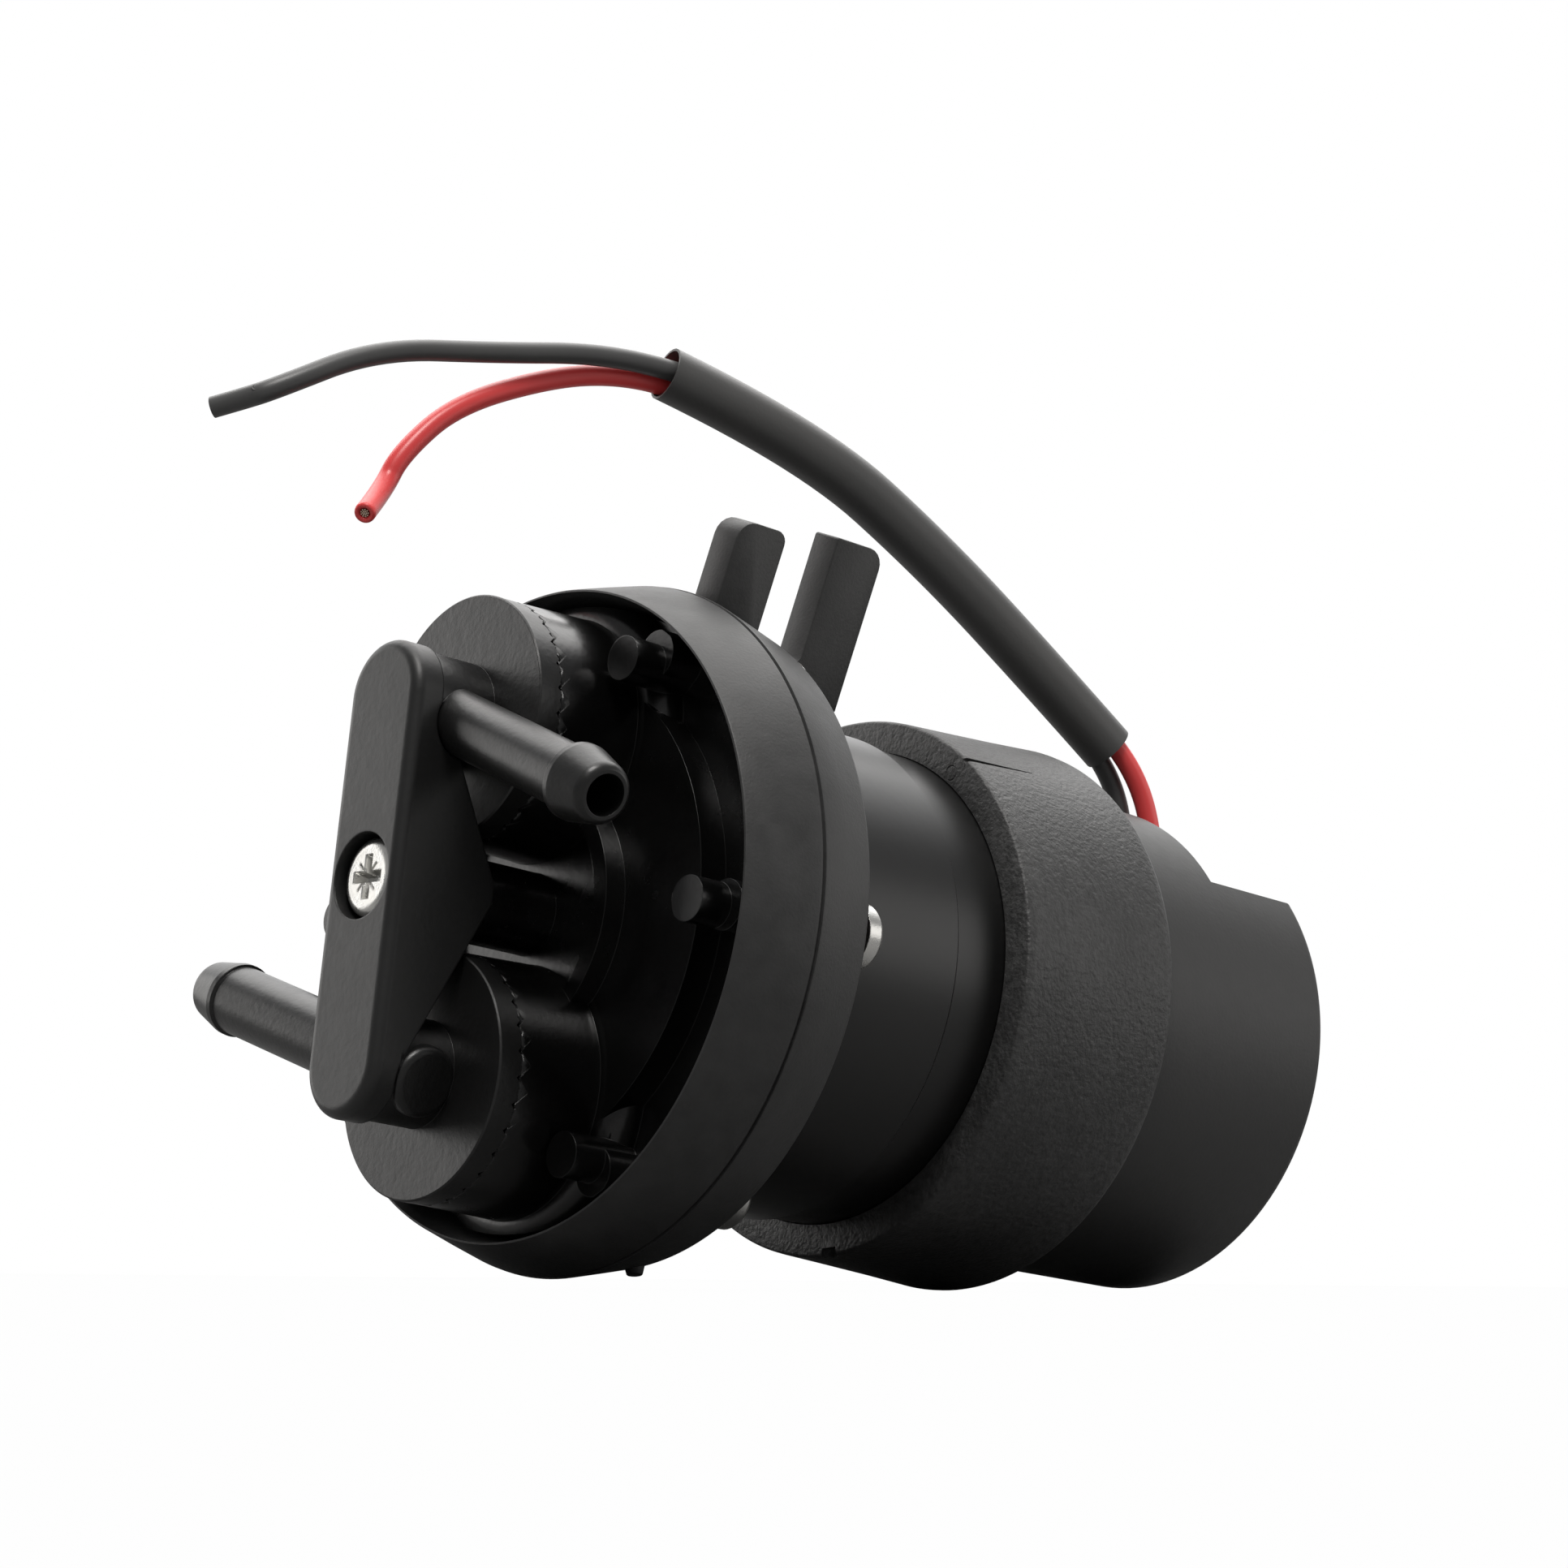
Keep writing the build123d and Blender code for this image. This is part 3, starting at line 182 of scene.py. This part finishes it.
wire_radius = 0.001075
red_route = [
    (-0.0791, 0.0110, -0.0012),
    (-0.0791, 0.0165, -0.0012),
    (-0.0787, 0.0223, -0.0012),
    (-0.0765, 0.0283, -0.0011),
    (-0.0720, 0.0329, -0.00098),
    (-0.0630, 0.0386, -0.0012),
    (-0.0537, 0.0441, -0.00107),
    (-0.0440, 0.0495, -0.00062),
    (-0.0345, 0.0542, 0.00002),
    (-0.0258, 0.0571, 0.00065),
    (-0.0171, 0.0594, 0.00106),
    (-0.0102, 0.0591, 0.0010),
    (-0.0032, 0.0570, 0.0009),
    (0.0066, 0.0519, 0.0009),
    (0.01185, 0.04554, 0.00088),
    (0.01298, 0.04182, 0.00142),
    (0.01593, 0.03823, -0.0022),
]
black_route = [
    (-0.0772, 0.0110, 0.0015),
    (-0.0772, 0.0170, 0.0015),
    (-0.0766, 0.0226, 0.0013),
    (-0.0748, 0.0278, 0.0011),
    (-0.0712, 0.0318, 0.00098),
    (-0.0629, 0.0384, 0.0012),
    (-0.0543, 0.0451, 0.00107),
    (-0.0450, 0.0513, 0.00062),
    (-0.0354, 0.0564, -0.00002),
    (-0.0262, 0.0591, -0.00065),
    (-0.0173, 0.0604, -0.00106),
    (-0.0075, 0.0602, -0.00105),
    (0.0035, 0.0576, -0.0010),
    (0.0163, 0.0550, -0.0010),
    (0.0265, 0.0484, -0.0010),
    (0.02847, 0.04755, 0.00141),
    (0.03075, 0.04657, 0.00344),
]
red_wire = lay_curve("red_wire", red_route, wire_radius)
red_pvc = wire_material("red_pvc", (0.66, 0.05, 0.052, 1), (0.8, 0.07, 0.07, 1), 0.3)
red_wire.data.materials.append(red_pvc)
black_wire = lay_curve("black_wire", black_route, wire_radius)
black_pvc = wire_material("black_pvc", grey(0.055), grey(0.07), 0.36)
black_wire.data.materials.append(black_pvc)
for wire, node, slot in (red_wire, "red_lead", "red_pvc"), (black_wire, "black_lead", "black_pvc"):
    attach(wire, "housing")
    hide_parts(node)


# Lead sleeving
# A loose PVC tube over both wires, 5.65 mm outside with a thin wall, cut
# square at both ends, and laid through its own points along the wires inside it.
def deselect_all():
    """Nothing is selected, so that the next operator acts on its own piece."""
    if bpy.context.mode != "OBJECT":
        bpy.ops.object.mode_set(mode="OBJECT")
    bpy.ops.object.select_all(action="DESELECT")


def pick(thing):
    """This object alone is selected and active."""
    deselect_all()
    thing.select_set(True)
    bpy.context.view_layer.objects.active = thing


def apply_modifier(thing, kind, **settings):
    """Adds a modifier, sets it and applies it at once."""
    pick(thing)
    bpy.ops.object.modifier_add(type=kind)
    modifier = thing.modifiers[-1]
    for name, value in settings.items():
        setattr(modifier, name, value)
    bpy.ops.object.modifier_apply(modifier=modifier.name)


def smooth(thing, angle=32):
    """Shades a mesh smooth across all but its sharp edges."""
    pick(thing)
    bpy.ops.object.shade_smooth_by_angle(angle=radians(angle))


sleeving_wall = 0.00026
sleeving_radius = 0.002825
sleeving_route = [
    (-0.0728, 0.0315, 0),
    (-0.0650, 0.0371, 0),
    (-0.0495, 0.0477, 0),
    (-0.0330, 0.0567, 0),
    (-0.0157, 0.0602, 0),
]
sleeving = lay_curve("lead_sleeving", sleeving_route, sleeving_radius)
sleeving.data.use_fill_caps = False
sleeving.data.bevel_resolution = 10
pick(sleeving)
bpy.ops.object.convert(target="MESH")
sleeving = bpy.context.view_layer.objects.active
pick(sleeving)
bpy.ops.object.mode_set(mode="EDIT")
bpy.ops.mesh.select_all(action="SELECT")
bpy.ops.mesh.remove_doubles(threshold=0.000001)
bpy.ops.mesh.normals_make_consistent(inside=False)
bpy.ops.object.mode_set(mode="OBJECT")
apply_modifier(sleeving, "SOLIDIFY", thickness=sleeving_wall, offset=-1)
smooth(sleeving)

material, start = new_material("sleeving_pvc")
where = start.node("TexCoord", out="Object")
cloud = speckle(start, where, 90.0, 5.0)
dust = speckle(start, where, 2400.0)
tint = blend_colour(start, cloud, grey(0.05), grey(0.068, -0.04))
bump = start.node("Bump", {"Strength": 0.15, "Distance": 0.0001, "Height": dust + cloud})
surface = start.node(
    "BsdfPrincipled", {"Base Color": tint, "Roughness": 0.34 + 0.2 * cloud, "Normal": bump}
)
finish_material(start, surface)
sleeving.data.materials.clear()
sleeving.data.materials.append(material)
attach(sleeving, "housing")
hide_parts("lead_sleeve")


# Lead ends
# Both wires are cut and left bare. The red one shows the strands of its core in
# a rounded mouth, and the black one has a small nick near its end.
def finish_mesh(thing, name):
    """Puts a modelled piece's place into its mesh and names it."""
    pick(thing)
    bpy.ops.object.transform_apply(location=True, rotation=True, scale=True)
    thing.name = name
    thing.data.name = name


def lathe(name, profile, steps=192, centre_z=0.0):
    """A closed ring turned about the pump's axis from (x, radius) points."""
    deselect_all()
    bpy.ops.mesh.primitive_circle_add(
        vertices=steps,
        radius=profile[0][1],
        location=(profile[0][0], 0, centre_z),
        rotation=(0, pi / 2, 0),
    )
    made = bpy.context.view_layer.objects.active
    finish_mesh(made, name)
    bpy.ops.object.mode_set(mode="EDIT")
    bpy.ops.mesh.select_mode(type="EDGE")
    bpy.ops.mesh.select_all(action="SELECT")
    here = profile[0]
    for there in profile[1:]:
        bpy.ops.mesh.extrude_region_move()
        grow = there[1] / here[1]
        bpy.ops.transform.resize(value=(1, grow, grow), center_override=(0, 0, centre_z))
        bpy.ops.transform.translate(value=(there[0] - here[0], 0, 0))
        here = there
    bpy.ops.mesh.select_all(action="DESELECT")
    bpy.ops.object.mode_set(mode="OBJECT")
    for edge in made.data.edges:
        first = made.data.vertices[edge.vertices[0]].co
        radius = (first.y**2 + (first.z - centre_z) ** 2) ** 0.5
        second = made.data.vertices[edge.vertices[1]].co
        flat = abs(first.x - second.x) < 1e-7
        at_start = abs(first.x - profile[0][0]) < 1e-7 and abs(radius - profile[0][1]) < 1e-6
        at_end = abs(first.x - profile[-1][0]) < 1e-7 and abs(radius - profile[-1][1]) < 1e-6
        other = (second.y**2 + (second.z - centre_z) ** 2) ** 0.5
        edge.select = flat and abs(radius - other) < 1e-6 and (at_start or at_end)
    bpy.ops.object.mode_set(mode="EDIT")
    bpy.ops.mesh.bridge_edge_loops()
    bpy.ops.mesh.select_all(action="SELECT")
    bpy.ops.mesh.normals_make_consistent(inside=False)
    bpy.ops.object.mode_set(mode="OBJECT")
    return made


red_end = lead_point(*red_route[-1])
red_way = (red_end - lead_point(*red_route[-2])).normalized()
red_stand = red_way.to_track_quat("X", "Z")
red_tip = lathe(
    "red_wire_tip",
    [
        (-0.0003, 0.00045),
        (-0.0003, wire_radius),
        (0.00025, wire_radius),
        (0.00042, 0.00105),
        (0.00056, 0.00097),
        (0.00062, 0.00085),
        (0.00061, 0.0007),
        (0.00052, 0.00058),
        (0.00035, 0.00050),
        (0.00005, 0.00045),
    ],
    48,
)
red_tip.rotation_mode = "QUATERNION"
red_tip.rotation_quaternion = red_stand
red_tip.location = red_end
finish_mesh(red_tip, "red_wire_tip")
smooth(red_tip, 60)
red_tip.data.materials.append(red_pvc)
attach(red_tip, "housing")

strand_radius = 0.00009
strand_length = 0.0009
strand_rings = (0, 1), (0.00019, 6), (0.00036, 9)
strands = []
for ring_radius, count in strand_rings:
    for turn in range(count):
        deselect_all()
        around = 2 * pi * turn / count
        side = Vector((ring_radius * cos(around), ring_radius * sin(around), 0.00002))
        stand = red_way.to_track_quat("Z", "Y")
        bpy.ops.mesh.primitive_cylinder_add(
            vertices=10,
            radius=strand_radius,
            depth=strand_length,
            location=red_end + stand @ side,
            rotation=stand.to_euler(),
        )
        strand = bpy.context.view_layer.objects.active
        apply_modifier(strand, "BEVEL", width=0.00002, segments=2)
        strands.append(strand)
deselect_all()
for strand in strands:
    strand.select_set(True)
bpy.context.view_layer.objects.active = strands[0]
bpy.ops.object.join()
red_core = bpy.context.view_layer.objects.active
finish_mesh(red_core, "red_wire_core")
smooth(red_core)

material, start = new_material("tinned_copper")
where = start.node("TexCoord", out="Object")
cloud = speckle(start, where, 2500.0, 2.0)
tint = blend_colour(start, cloud, (0.62, 0.4, 0.26, 1), (0.72, 0.6, 0.5, 1))
surface = start.node(
    "BsdfPrincipled", {"Base Color": tint, "Roughness": 0.25 + 0.2 * cloud, "Metallic": 1.0}
)
finish_material(start, surface)
red_core.data.materials.clear()
red_core.data.materials.append(material)
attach(red_core, "housing")

nick_way = (upward * 0.6 - ahead * 0.8).normalized()
nick_place = lead_point(0.0276, 0.0479, 0.0004) + 0.00103 * nick_way
deselect_all()
bpy.ops.mesh.primitive_torus_add(
    major_radius=0.0003,
    minor_radius=0.00012,
    major_segments=24,
    minor_segments=10,
    location=nick_place,
    rotation=nick_way.to_track_quat("Z", "Y").to_euler(),
)
nick = bpy.context.view_layer.objects.active
finish_mesh(nick, "black_wire_nick")
smooth(nick, 60)
nick.data.materials.append(black_pvc)
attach(nick, "housing")

red_length = 0.1262
black_length = 0.1376
for wire, route, length, goes_with in (
    (red_wire, red_route, red_length, [red_tip, red_core, sleeving]),
    (black_wire, black_route, black_length, [nick, sleeving]),
):
    lead_point(*route[0])


# Mounting ring
# A thick band of black moulded rubber stretched over the two flanges, with a
# pair of hanger prongs standing up from it. A fine groove runs round its crest,
# where the two halves of its mould met.
ring = lathe(
    "rubber_ring",
    [
        (0.0, 0.0312),
        (0.00005, 0.03138),
        (0.0002, 0.03148),
        (0.0040, 0.03260),
        (0.0072, 0.03348),
        (0.00745, 0.03350),
        (0.00752, 0.03330),
        (0.00775, 0.03330),
        (0.00782, 0.03358),
        (0.0080, 0.0336),
        (0.0112, 0.03285),
        (0.0145, 0.03205),
        (0.01475, 0.03196),
        (0.01492, 0.03178),
        (0.0150, 0.03155),
        (0.0150, 0.0307),
        (0.0149, 0.03045),
        (0.0147, 0.0304),
        (0.01105, 0.0304),
        (0.01105, 0.02957),
        (0.00895, 0.02957),
        (0.00895, 0.0304),
        (0.0047, 0.0304),
        (0.0006, 0.03112),
    ],
)
smooth(ring, 40)


def corner(x, z, radius, start, steps=5):
    """Points round a rounded corner about (x, z), a quarter turn clockwise."""
    turns = [radians(start - 90 * step / steps) for step in range(steps + 1)]
    return [(x + radius * cos(turn), z + radius * sin(turn)) for turn in turns]


prong_near = -0.0012
prong_far = 0.0024
fork_tilt = radians(18)
prong_outline = [
    (0.0103, 0.0309),
    *corner(0.0123, 0.0398, 0.0020, 180),
    *corner(0.0151, 0.0406, 0.0012, 90),
    (0.0163, 0.0307),
    (0.0170, 0.0299),
    (0.0182, 0.0296),
    (0.0207, 0.0296),
    (0.0218, 0.0299),
    (0.0224, 0.0307),
    *corner(0.0227, 0.0427, 0.0003, 180),
    *corner(0.0269, 0.0412, 0.0018, 90),
    (0.0287, 0.0266),
    (0.0281, 0.0260),
    (0.0146, 0.0260),
    (0.0146, 0.0309),
]
deselect_all()
bpy.ops.mesh.primitive_circle_add(vertices=len(prong_outline), radius=0.01, fill_type="NGON")
fork = bpy.context.view_layer.objects.active
for vertex, (along, height) in zip(fork.data.vertices, prong_outline):
    vertex.co = (along, prong_near, height)
pick(fork)
bpy.ops.object.mode_set(mode="EDIT")
bpy.ops.mesh.select_all(action="SELECT")
bpy.ops.mesh.extrude_region_move(TRANSFORM_OT_translate={"value": (0, prong_far - prong_near, 0)})
bpy.ops.mesh.select_all(action="SELECT")
bpy.ops.mesh.normals_make_consistent(inside=False)
bpy.ops.transform.rotate(
    value=-fork_tilt, orient_axis="X", orient_type="GLOBAL", center_override=(0, 0, 0)
)
bpy.ops.object.mode_set(mode="OBJECT")
apply_modifier(
    fork, "BEVEL", width=0.00016, segments=2, limit_method="ANGLE", angle_limit=radians(50)
)
finish_mesh(fork, "ring_fork")
smooth(fork, 40)

nub_x = 0.0134
nub_middle = 0.03215
nub_turn = radians(260)
nub_way = Vector((0, cos(nub_turn), sin(nub_turn)))
deselect_all()
bpy.ops.mesh.primitive_cone_add(
    vertices=32,
    radius1=0.0012,
    radius2=0.00075,
    depth=0.0018,
    location=nub_way * nub_middle + Vector((nub_x, 0, 0)),
    rotation=nub_way.to_track_quat("Z", "X").to_euler(),
)
nub = bpy.context.view_layer.objects.active
apply_modifier(nub, "BEVEL", width=0.00015, segments=3, limit_method="ANGLE")
finish_mesh(nub, "ring_nub")
smooth(nub, 40)

deselect_all()
fork.select_set(True)
nub.select_set(True)
ring.select_set(True)
bpy.context.view_layer.objects.active = ring
bpy.ops.object.join()
finish_mesh(ring, "rubber_ring")


def rubber_material(name, dark, light, roughness, mottle, grain, strength):
    """Black rubber: a dull skin with fine grain and a little bloom."""
    material, start = new_material(name)
    where = start.node("TexCoord", out="Object")
    cloud = speckle(start, where, 70.0, 6.0)
    patch = speckle(start, where, mottle, 5.0)
    fine = speckle(start, where, grain, 4.0)
    tint = blend_colour(start, cloud * patch * 2.2, dark, light)
    bump = start.node(
        "Bump", {"Strength": strength, "Distance": 0.0001, "Height": fine + 1.5 * patch}
    )
    surface = start.node(
        "BsdfPrincipled",
        {"Base Color": tint, "Roughness": roughness + 0.18 * patch - 0.06 * fine, "Normal": bump},
    )
    finish_material(start, surface)
    return material


ring_rubber = rubber_material("ring_rubber", grey(0.014), grey(0.036), 0.44, 420.0, 3200.0, 0.25)
ring.data.materials.clear()
ring.data.materials.append(ring_rubber)
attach(ring, "housing")
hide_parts("mounting_ring")


# Rubber sleeve
# A thick moulded boot that closes the joint between the can and the rear cap.
# Its bore shows at the front edge, where it stands off the necked can, and it
# carries a short slit, a notch and the round mark of an ejector pin.
sleeve_front = 0.0404
sleeve = lathe(
    "rubber_boot",
    [
        (sleeve_front, 0.0242),
        (sleeve_front, 0.0271),
        (0.0405, 0.02728),
        (0.0407, 0.0274),
        (0.0413, 0.02745),
        (0.0460, 0.0277),
        (0.0530, 0.0281),
        (0.0588, 0.0285),
        (0.0594, 0.02845),
        (0.0599, 0.0282),
        (0.0601, 0.0278),
        (0.0601, 0.0256),
        (0.0599, 0.0252),
        (0.0595, 0.0251),
        (0.0499, 0.0251),
        (0.0499, 0.0242),
    ],
)


def carve(thing, tool):
    """Cuts the tool's shape out of a piece and throws the tool away."""
    apply_modifier(thing, "BOOLEAN", operation="DIFFERENCE", object=tool, solver="EXACT")
    deselect_all()
    tool.select_set(True)
    bpy.ops.object.delete()


slit_length = 0.0095
slit_turn = radians(126.5)
slit_way = Vector((0, cos(slit_turn), sin(slit_turn)))
slit_run = Vector((1, 0, 0)) + 0.055 * slit_way
deselect_all()
bpy.ops.mesh.primitive_cone_add(
    vertices=4,
    radius1=0.0005,
    radius2=0.0001,
    depth=slit_length,
    location=slit_way * 0.0276 + Vector((0.0447, 0, 0)),
    rotation=slit_run.to_track_quat("Z", "Y").to_euler(),
)
carve(sleeve, bpy.context.view_layer.objects.active)

notch_turn = radians(264)
notch_way = Vector((0, cos(notch_turn), sin(notch_turn)))
deselect_all()
bpy.ops.mesh.primitive_cylinder_add(
    vertices=32,
    radius=0.001,
    depth=0.003,
    location=notch_way * 0.0281 + Vector((sleeve_front, 0, 0)),
    rotation=notch_way.to_track_quat("Z", "X").to_euler(),
)
carve(sleeve, bpy.context.view_layer.objects.active)

mark_turn = radians(124.5)
mark_radius = 0.0252
deselect_all()
bpy.ops.mesh.primitive_torus_add(
    major_radius=0.00075,
    minor_radius=0.00007,
    major_segments=40,
    minor_segments=8,
    location=(sleeve_front, mark_radius * cos(mark_turn), mark_radius * sin(mark_turn)),
    rotation=(0, pi / 2, 0),
)
carve(sleeve, bpy.context.view_layer.objects.active)
smooth(sleeve, 40)
sleeve_rubber = rubber_material("sleeve_rubber", grey(0.004), grey(0.055), 0.44, 1500.0, 2600.0, 1.0)
sleeve.data.materials.clear()
sleeve.data.materials.append(sleeve_rubber)
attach(sleeve, "housing")
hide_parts("rubber_sleeve")


# Housing mouldings
# The front housing, the rear flange, both port caps, the retaining bar and the
# rear cap are black glass-filled nylon with a fine satin skin.
def nylon_material(name, dark, light, roughness, grain, strength, edge):
    """Black moulded nylon, softly rounded at its edges, with a fine grain."""
    material, start = new_material(name)
    where = start.node("TexCoord", out="Object")
    cloud = speckle(start, where, 55.0, 4.0)
    patch = speckle(start, where, 600.0, 3.0)
    fine = speckle(start, where, grain, 2.0)
    tint = blend_colour(start, cloud, dark, light)
    rounded = start.node("Bevel", {"Radius": edge}, samples=6)
    bump = start.node(
        "Bump",
        {"Strength": strength, "Distance": 0.0001, "Height": fine + patch, "Normal": rounded},
    )
    surface = start.node(
        "BsdfPrincipled",
        {
            "Base Color": tint,
            "Roughness": roughness + 0.12 * cloud + 0.08 * patch,
            "Normal": bump,
        },
    )
    finish_material(start, surface)
    return material


def coat(names, material):
    """Gives CAD nodes their finish."""
    for name in names:
        for slot in nodes[name].material_slots:
            slot.material = material


housing_nylon = nylon_material("housing_nylon", grey(0.001), grey(0.0025), 0.15, 1700.0, 0.12, 0.0001)
cap_nylon = nylon_material("cap_nylon", grey(0.004), grey(0.008), 0.26, 1900.0, 0.2, 0.0001)
bar_nylon = nylon_material("bar_nylon", grey(0.006), grey(0.01), 0.32, 1700.0, 0.15, 0.00025)
rear_cap_nylon = nylon_material(
    "rear_cap_nylon", grey(0.018), grey(0.03), 0.42, 2600.0, 0.15, 0.00015
)
coat(["front_housing", "rear_flange"], housing_nylon)
coat(["inlet_port_cap", "outlet_port_cap"], cap_nylon)
coat(["retaining_bar"], bar_nylon)
coat(["rear_cap"], rear_cap_nylon)
coat(["lead_grommet"], ring_rubber)


# Solenoid can
# Drawn steel, necked down at the rear for the sleeve and the cap, and painted
# semi-gloss black.
material, start = new_material("can_paint")
where = start.node("TexCoord", out="Object")
cloud = speckle(start, where, 60.0, 4.0)
orange_peel = speckle(start, where, 900.0, 2.0)
tint = blend_colour(start, cloud, grey(0.002), grey(0.005))
bump = start.node("Bump", {"Strength": 0.08, "Distance": 0.0001, "Height": orange_peel})
surface = start.node(
    "BsdfPrincipled",
    {"Base Color": tint, "Roughness": 0.3 + 0.1 * cloud, "Normal": bump},
)
finish_material(start, surface)
coat(["solenoid_can"], material)


# Metal and inner parts
# The screws are zinc plated. Inside are plain steel, brass and copper, with
# rubber for the diaphragm, valves and seals, and pale nylon for the bobbin.
def metal_material(name, dark, light, roughness, scale, edge):
    """Bare or plated metal with a fine crystalline mottle."""
    material, start = new_material(name)
    where = start.node("TexCoord", out="Object")
    cloud = speckle(start, where, scale, 4.0)
    fine = speckle(start, where, scale * 9, 2.0)
    tint = blend_colour(start, cloud, dark, light)
    rounded = start.node("Bevel", {"Radius": edge}, samples=6)
    bump = start.node(
        "Bump", {"Strength": 0.15, "Distance": 0.0001, "Height": fine, "Normal": rounded}
    )
    surface = start.node(
        "BsdfPrincipled",
        {"Base Color": tint, "Roughness": roughness + 0.15 * cloud, "Metallic": 1.0, "Normal": bump},
    )
    finish_material(start, surface)
    return material


zinc = metal_material("zinc", (0.5, 0.5, 0.5, 1), (0.75, 0.74, 0.7, 1), 0.2, 500.0, 0.0002)
steel = metal_material("steel", (0.4, 0.4, 0.41, 1), (0.55, 0.55, 0.55, 1), 0.3, 300.0, 0.0002)
brass = metal_material("brass", (0.6, 0.42, 0.18, 1), (0.75, 0.58, 0.3, 1), 0.25, 300.0, 0.0002)
copper = metal_material("copper", (0.45, 0.16, 0.06, 1), (0.6, 0.24, 0.1, 1), 0.25, 900.0, 0.0001)
coat(["bar_screw", "flange_screws"], zinc)
coat(
    [
        "inlet_valve_spring",
        "outlet_valve_spring",
        "return_spring",
        "front_diaphragm_washer",
        "rear_diaphragm_washer",
        "rod_nut",
        "pull_rod",
        "plunger",
        "spring_stop",
        "front_pole_plate",
        "rear_pole_plate",
        "pivot_pin",
    ],
    steel,
)
coat(
    [
        "inlet_valve_seat",
        "outlet_valve_seat",
        "core_tube",
        "fixed_contact",
        "contact_arm",
        "red_lead_terminal",
        "black_lead_terminal",
    ],
    brass,
)
coat(["coil_winding"], copper)
fuel_rubber = rubber_material(
    "fuel_rubber", (0.03, 0.024, 0.018, 1), (0.06, 0.05, 0.04, 1), 0.45, 420.0, 1500.0, 0.3
)
coat(
    ["diaphragm", "inlet_valve_disc", "outlet_valve_disc", "inlet_cap_seal", "outlet_cap_seal"],
    fuel_rubber,
)
inner_nylon = nylon_material(
    "inner_nylon", (0.5, 0.45, 0.36, 1), (0.6, 0.55, 0.45, 1), 0.4, 1500.0, 0.1, 0.0002
)
coat(["coil_bobbin", "contact_base"], inner_nylon)


# Table and light
# A pale table seen edge-on before a white cloth, both drawn white to the camera.
# One broad lamp hangs overhead and one stands at each side, and a smaller one
# above the camera draws the narrow gloss lines.
bpy.context.scene.view_settings.view_transform = "Standard"
deselect_all()
bpy.ops.mesh.primitive_plane_add(size=3.0)
floor = bpy.context.view_layer.objects.active
tilt = 0.1157
floor.rotation_euler = (0, -tilt, 0)
table_point = (0.0588, 0, -0.0286)
floor.location = table_point
finish_mesh(floor, "table")
material, start = new_material("table_white")
white_share = 0.985
path = start.node("LightPath", out="Is Camera Ray")
plain = start.node("BsdfDiffuse", {"Color": (0.2, 0.2, 0.2, 1)})
glow = start.node("Emission", {"Color": (1, 1, 1, 1), "Strength": 1.0})
surface = start.node("MixShader", {0: path * white_share, 1: plain, 2: glow})
finish_material(start, surface)
floor.data.materials.append(material)

world = bpy.data.worlds.new("studio")
bpy.context.scene.world = world
world.use_nodes = True
world.node_tree.nodes.clear()
start = Value(world.node_tree)
seen = start.node("LightPath", out="Is Camera Ray")
where = start.node("TexCoord", out="Generated")
height = start.node(
    "VectorMath", {0: where, 1: (-sin(tilt), 0, cos(tilt))}, out=1, operation="DOT_PRODUCT"
)
walls = start.node(
    "ValToRGB",
    {0: 0.5 * height + 0.5},
    stops=[(0.49, (0, 0, 0, 1)), (0.53, (0.3, 0.3, 0.3, 1))],
)
behind = start.node(
    "VectorMath", {0: where, 1: (ahead + 0.7 * upward).normalized()}, out=1, operation="DOT_PRODUCT"
)
cloth = start.node(
    "ValToRGB", {0: behind}, stops=[(0.62, (0, 0, 0, 1)), (0.86, (1.3, 1.3, 1.3, 1))]
)
both = start.node(
    "Mix", {0: 1.0, 6: walls, 7: cloth}, out=2, data_type="RGBA", blend_type="ADD"
)
room = start.node("Background", {"Color": both})
backdrop = start.node("Background", {"Color": (1, 1, 1, 1), "Strength": 1.0})
start.node("OutputWorld", {"Surface": start.node("MixShader", {0: seen, 1: room, 2: backdrop})})


def lamp(name, place, target, size, power):
    """A square soft lamp that points at a place."""
    light = bpy.data.lights.new(name, "AREA")
    light.size = size
    light.energy = power
    light.color = (1, 0.98, 0.955)
    made = bpy.data.objects.new(name, light)
    made.location = place
    made.visible_camera = False
    made.rotation_euler = (Vector(target) - Vector(place)).to_track_quat("-Z", "Y").to_euler()
    bpy.context.scene.collection.objects.link(made)


lamp("overhead", (0.1, 0.15, 0.62), (0.04, 0, 0), 0.8, 4.0)
lamp("key", (-0.25, -0.25, 0.5), (0.02, 0, 0.01), 0.2, 2.4)
lamp("left", (-0.22, 0.55, 0.12), (0.0, 0, 0), 0.38, 0.95)
lamp("right", (0.41, -0.34, 0.02), (0.05, 0, 0), 0.5, 0.9)

bpy.context.view_layer.update()
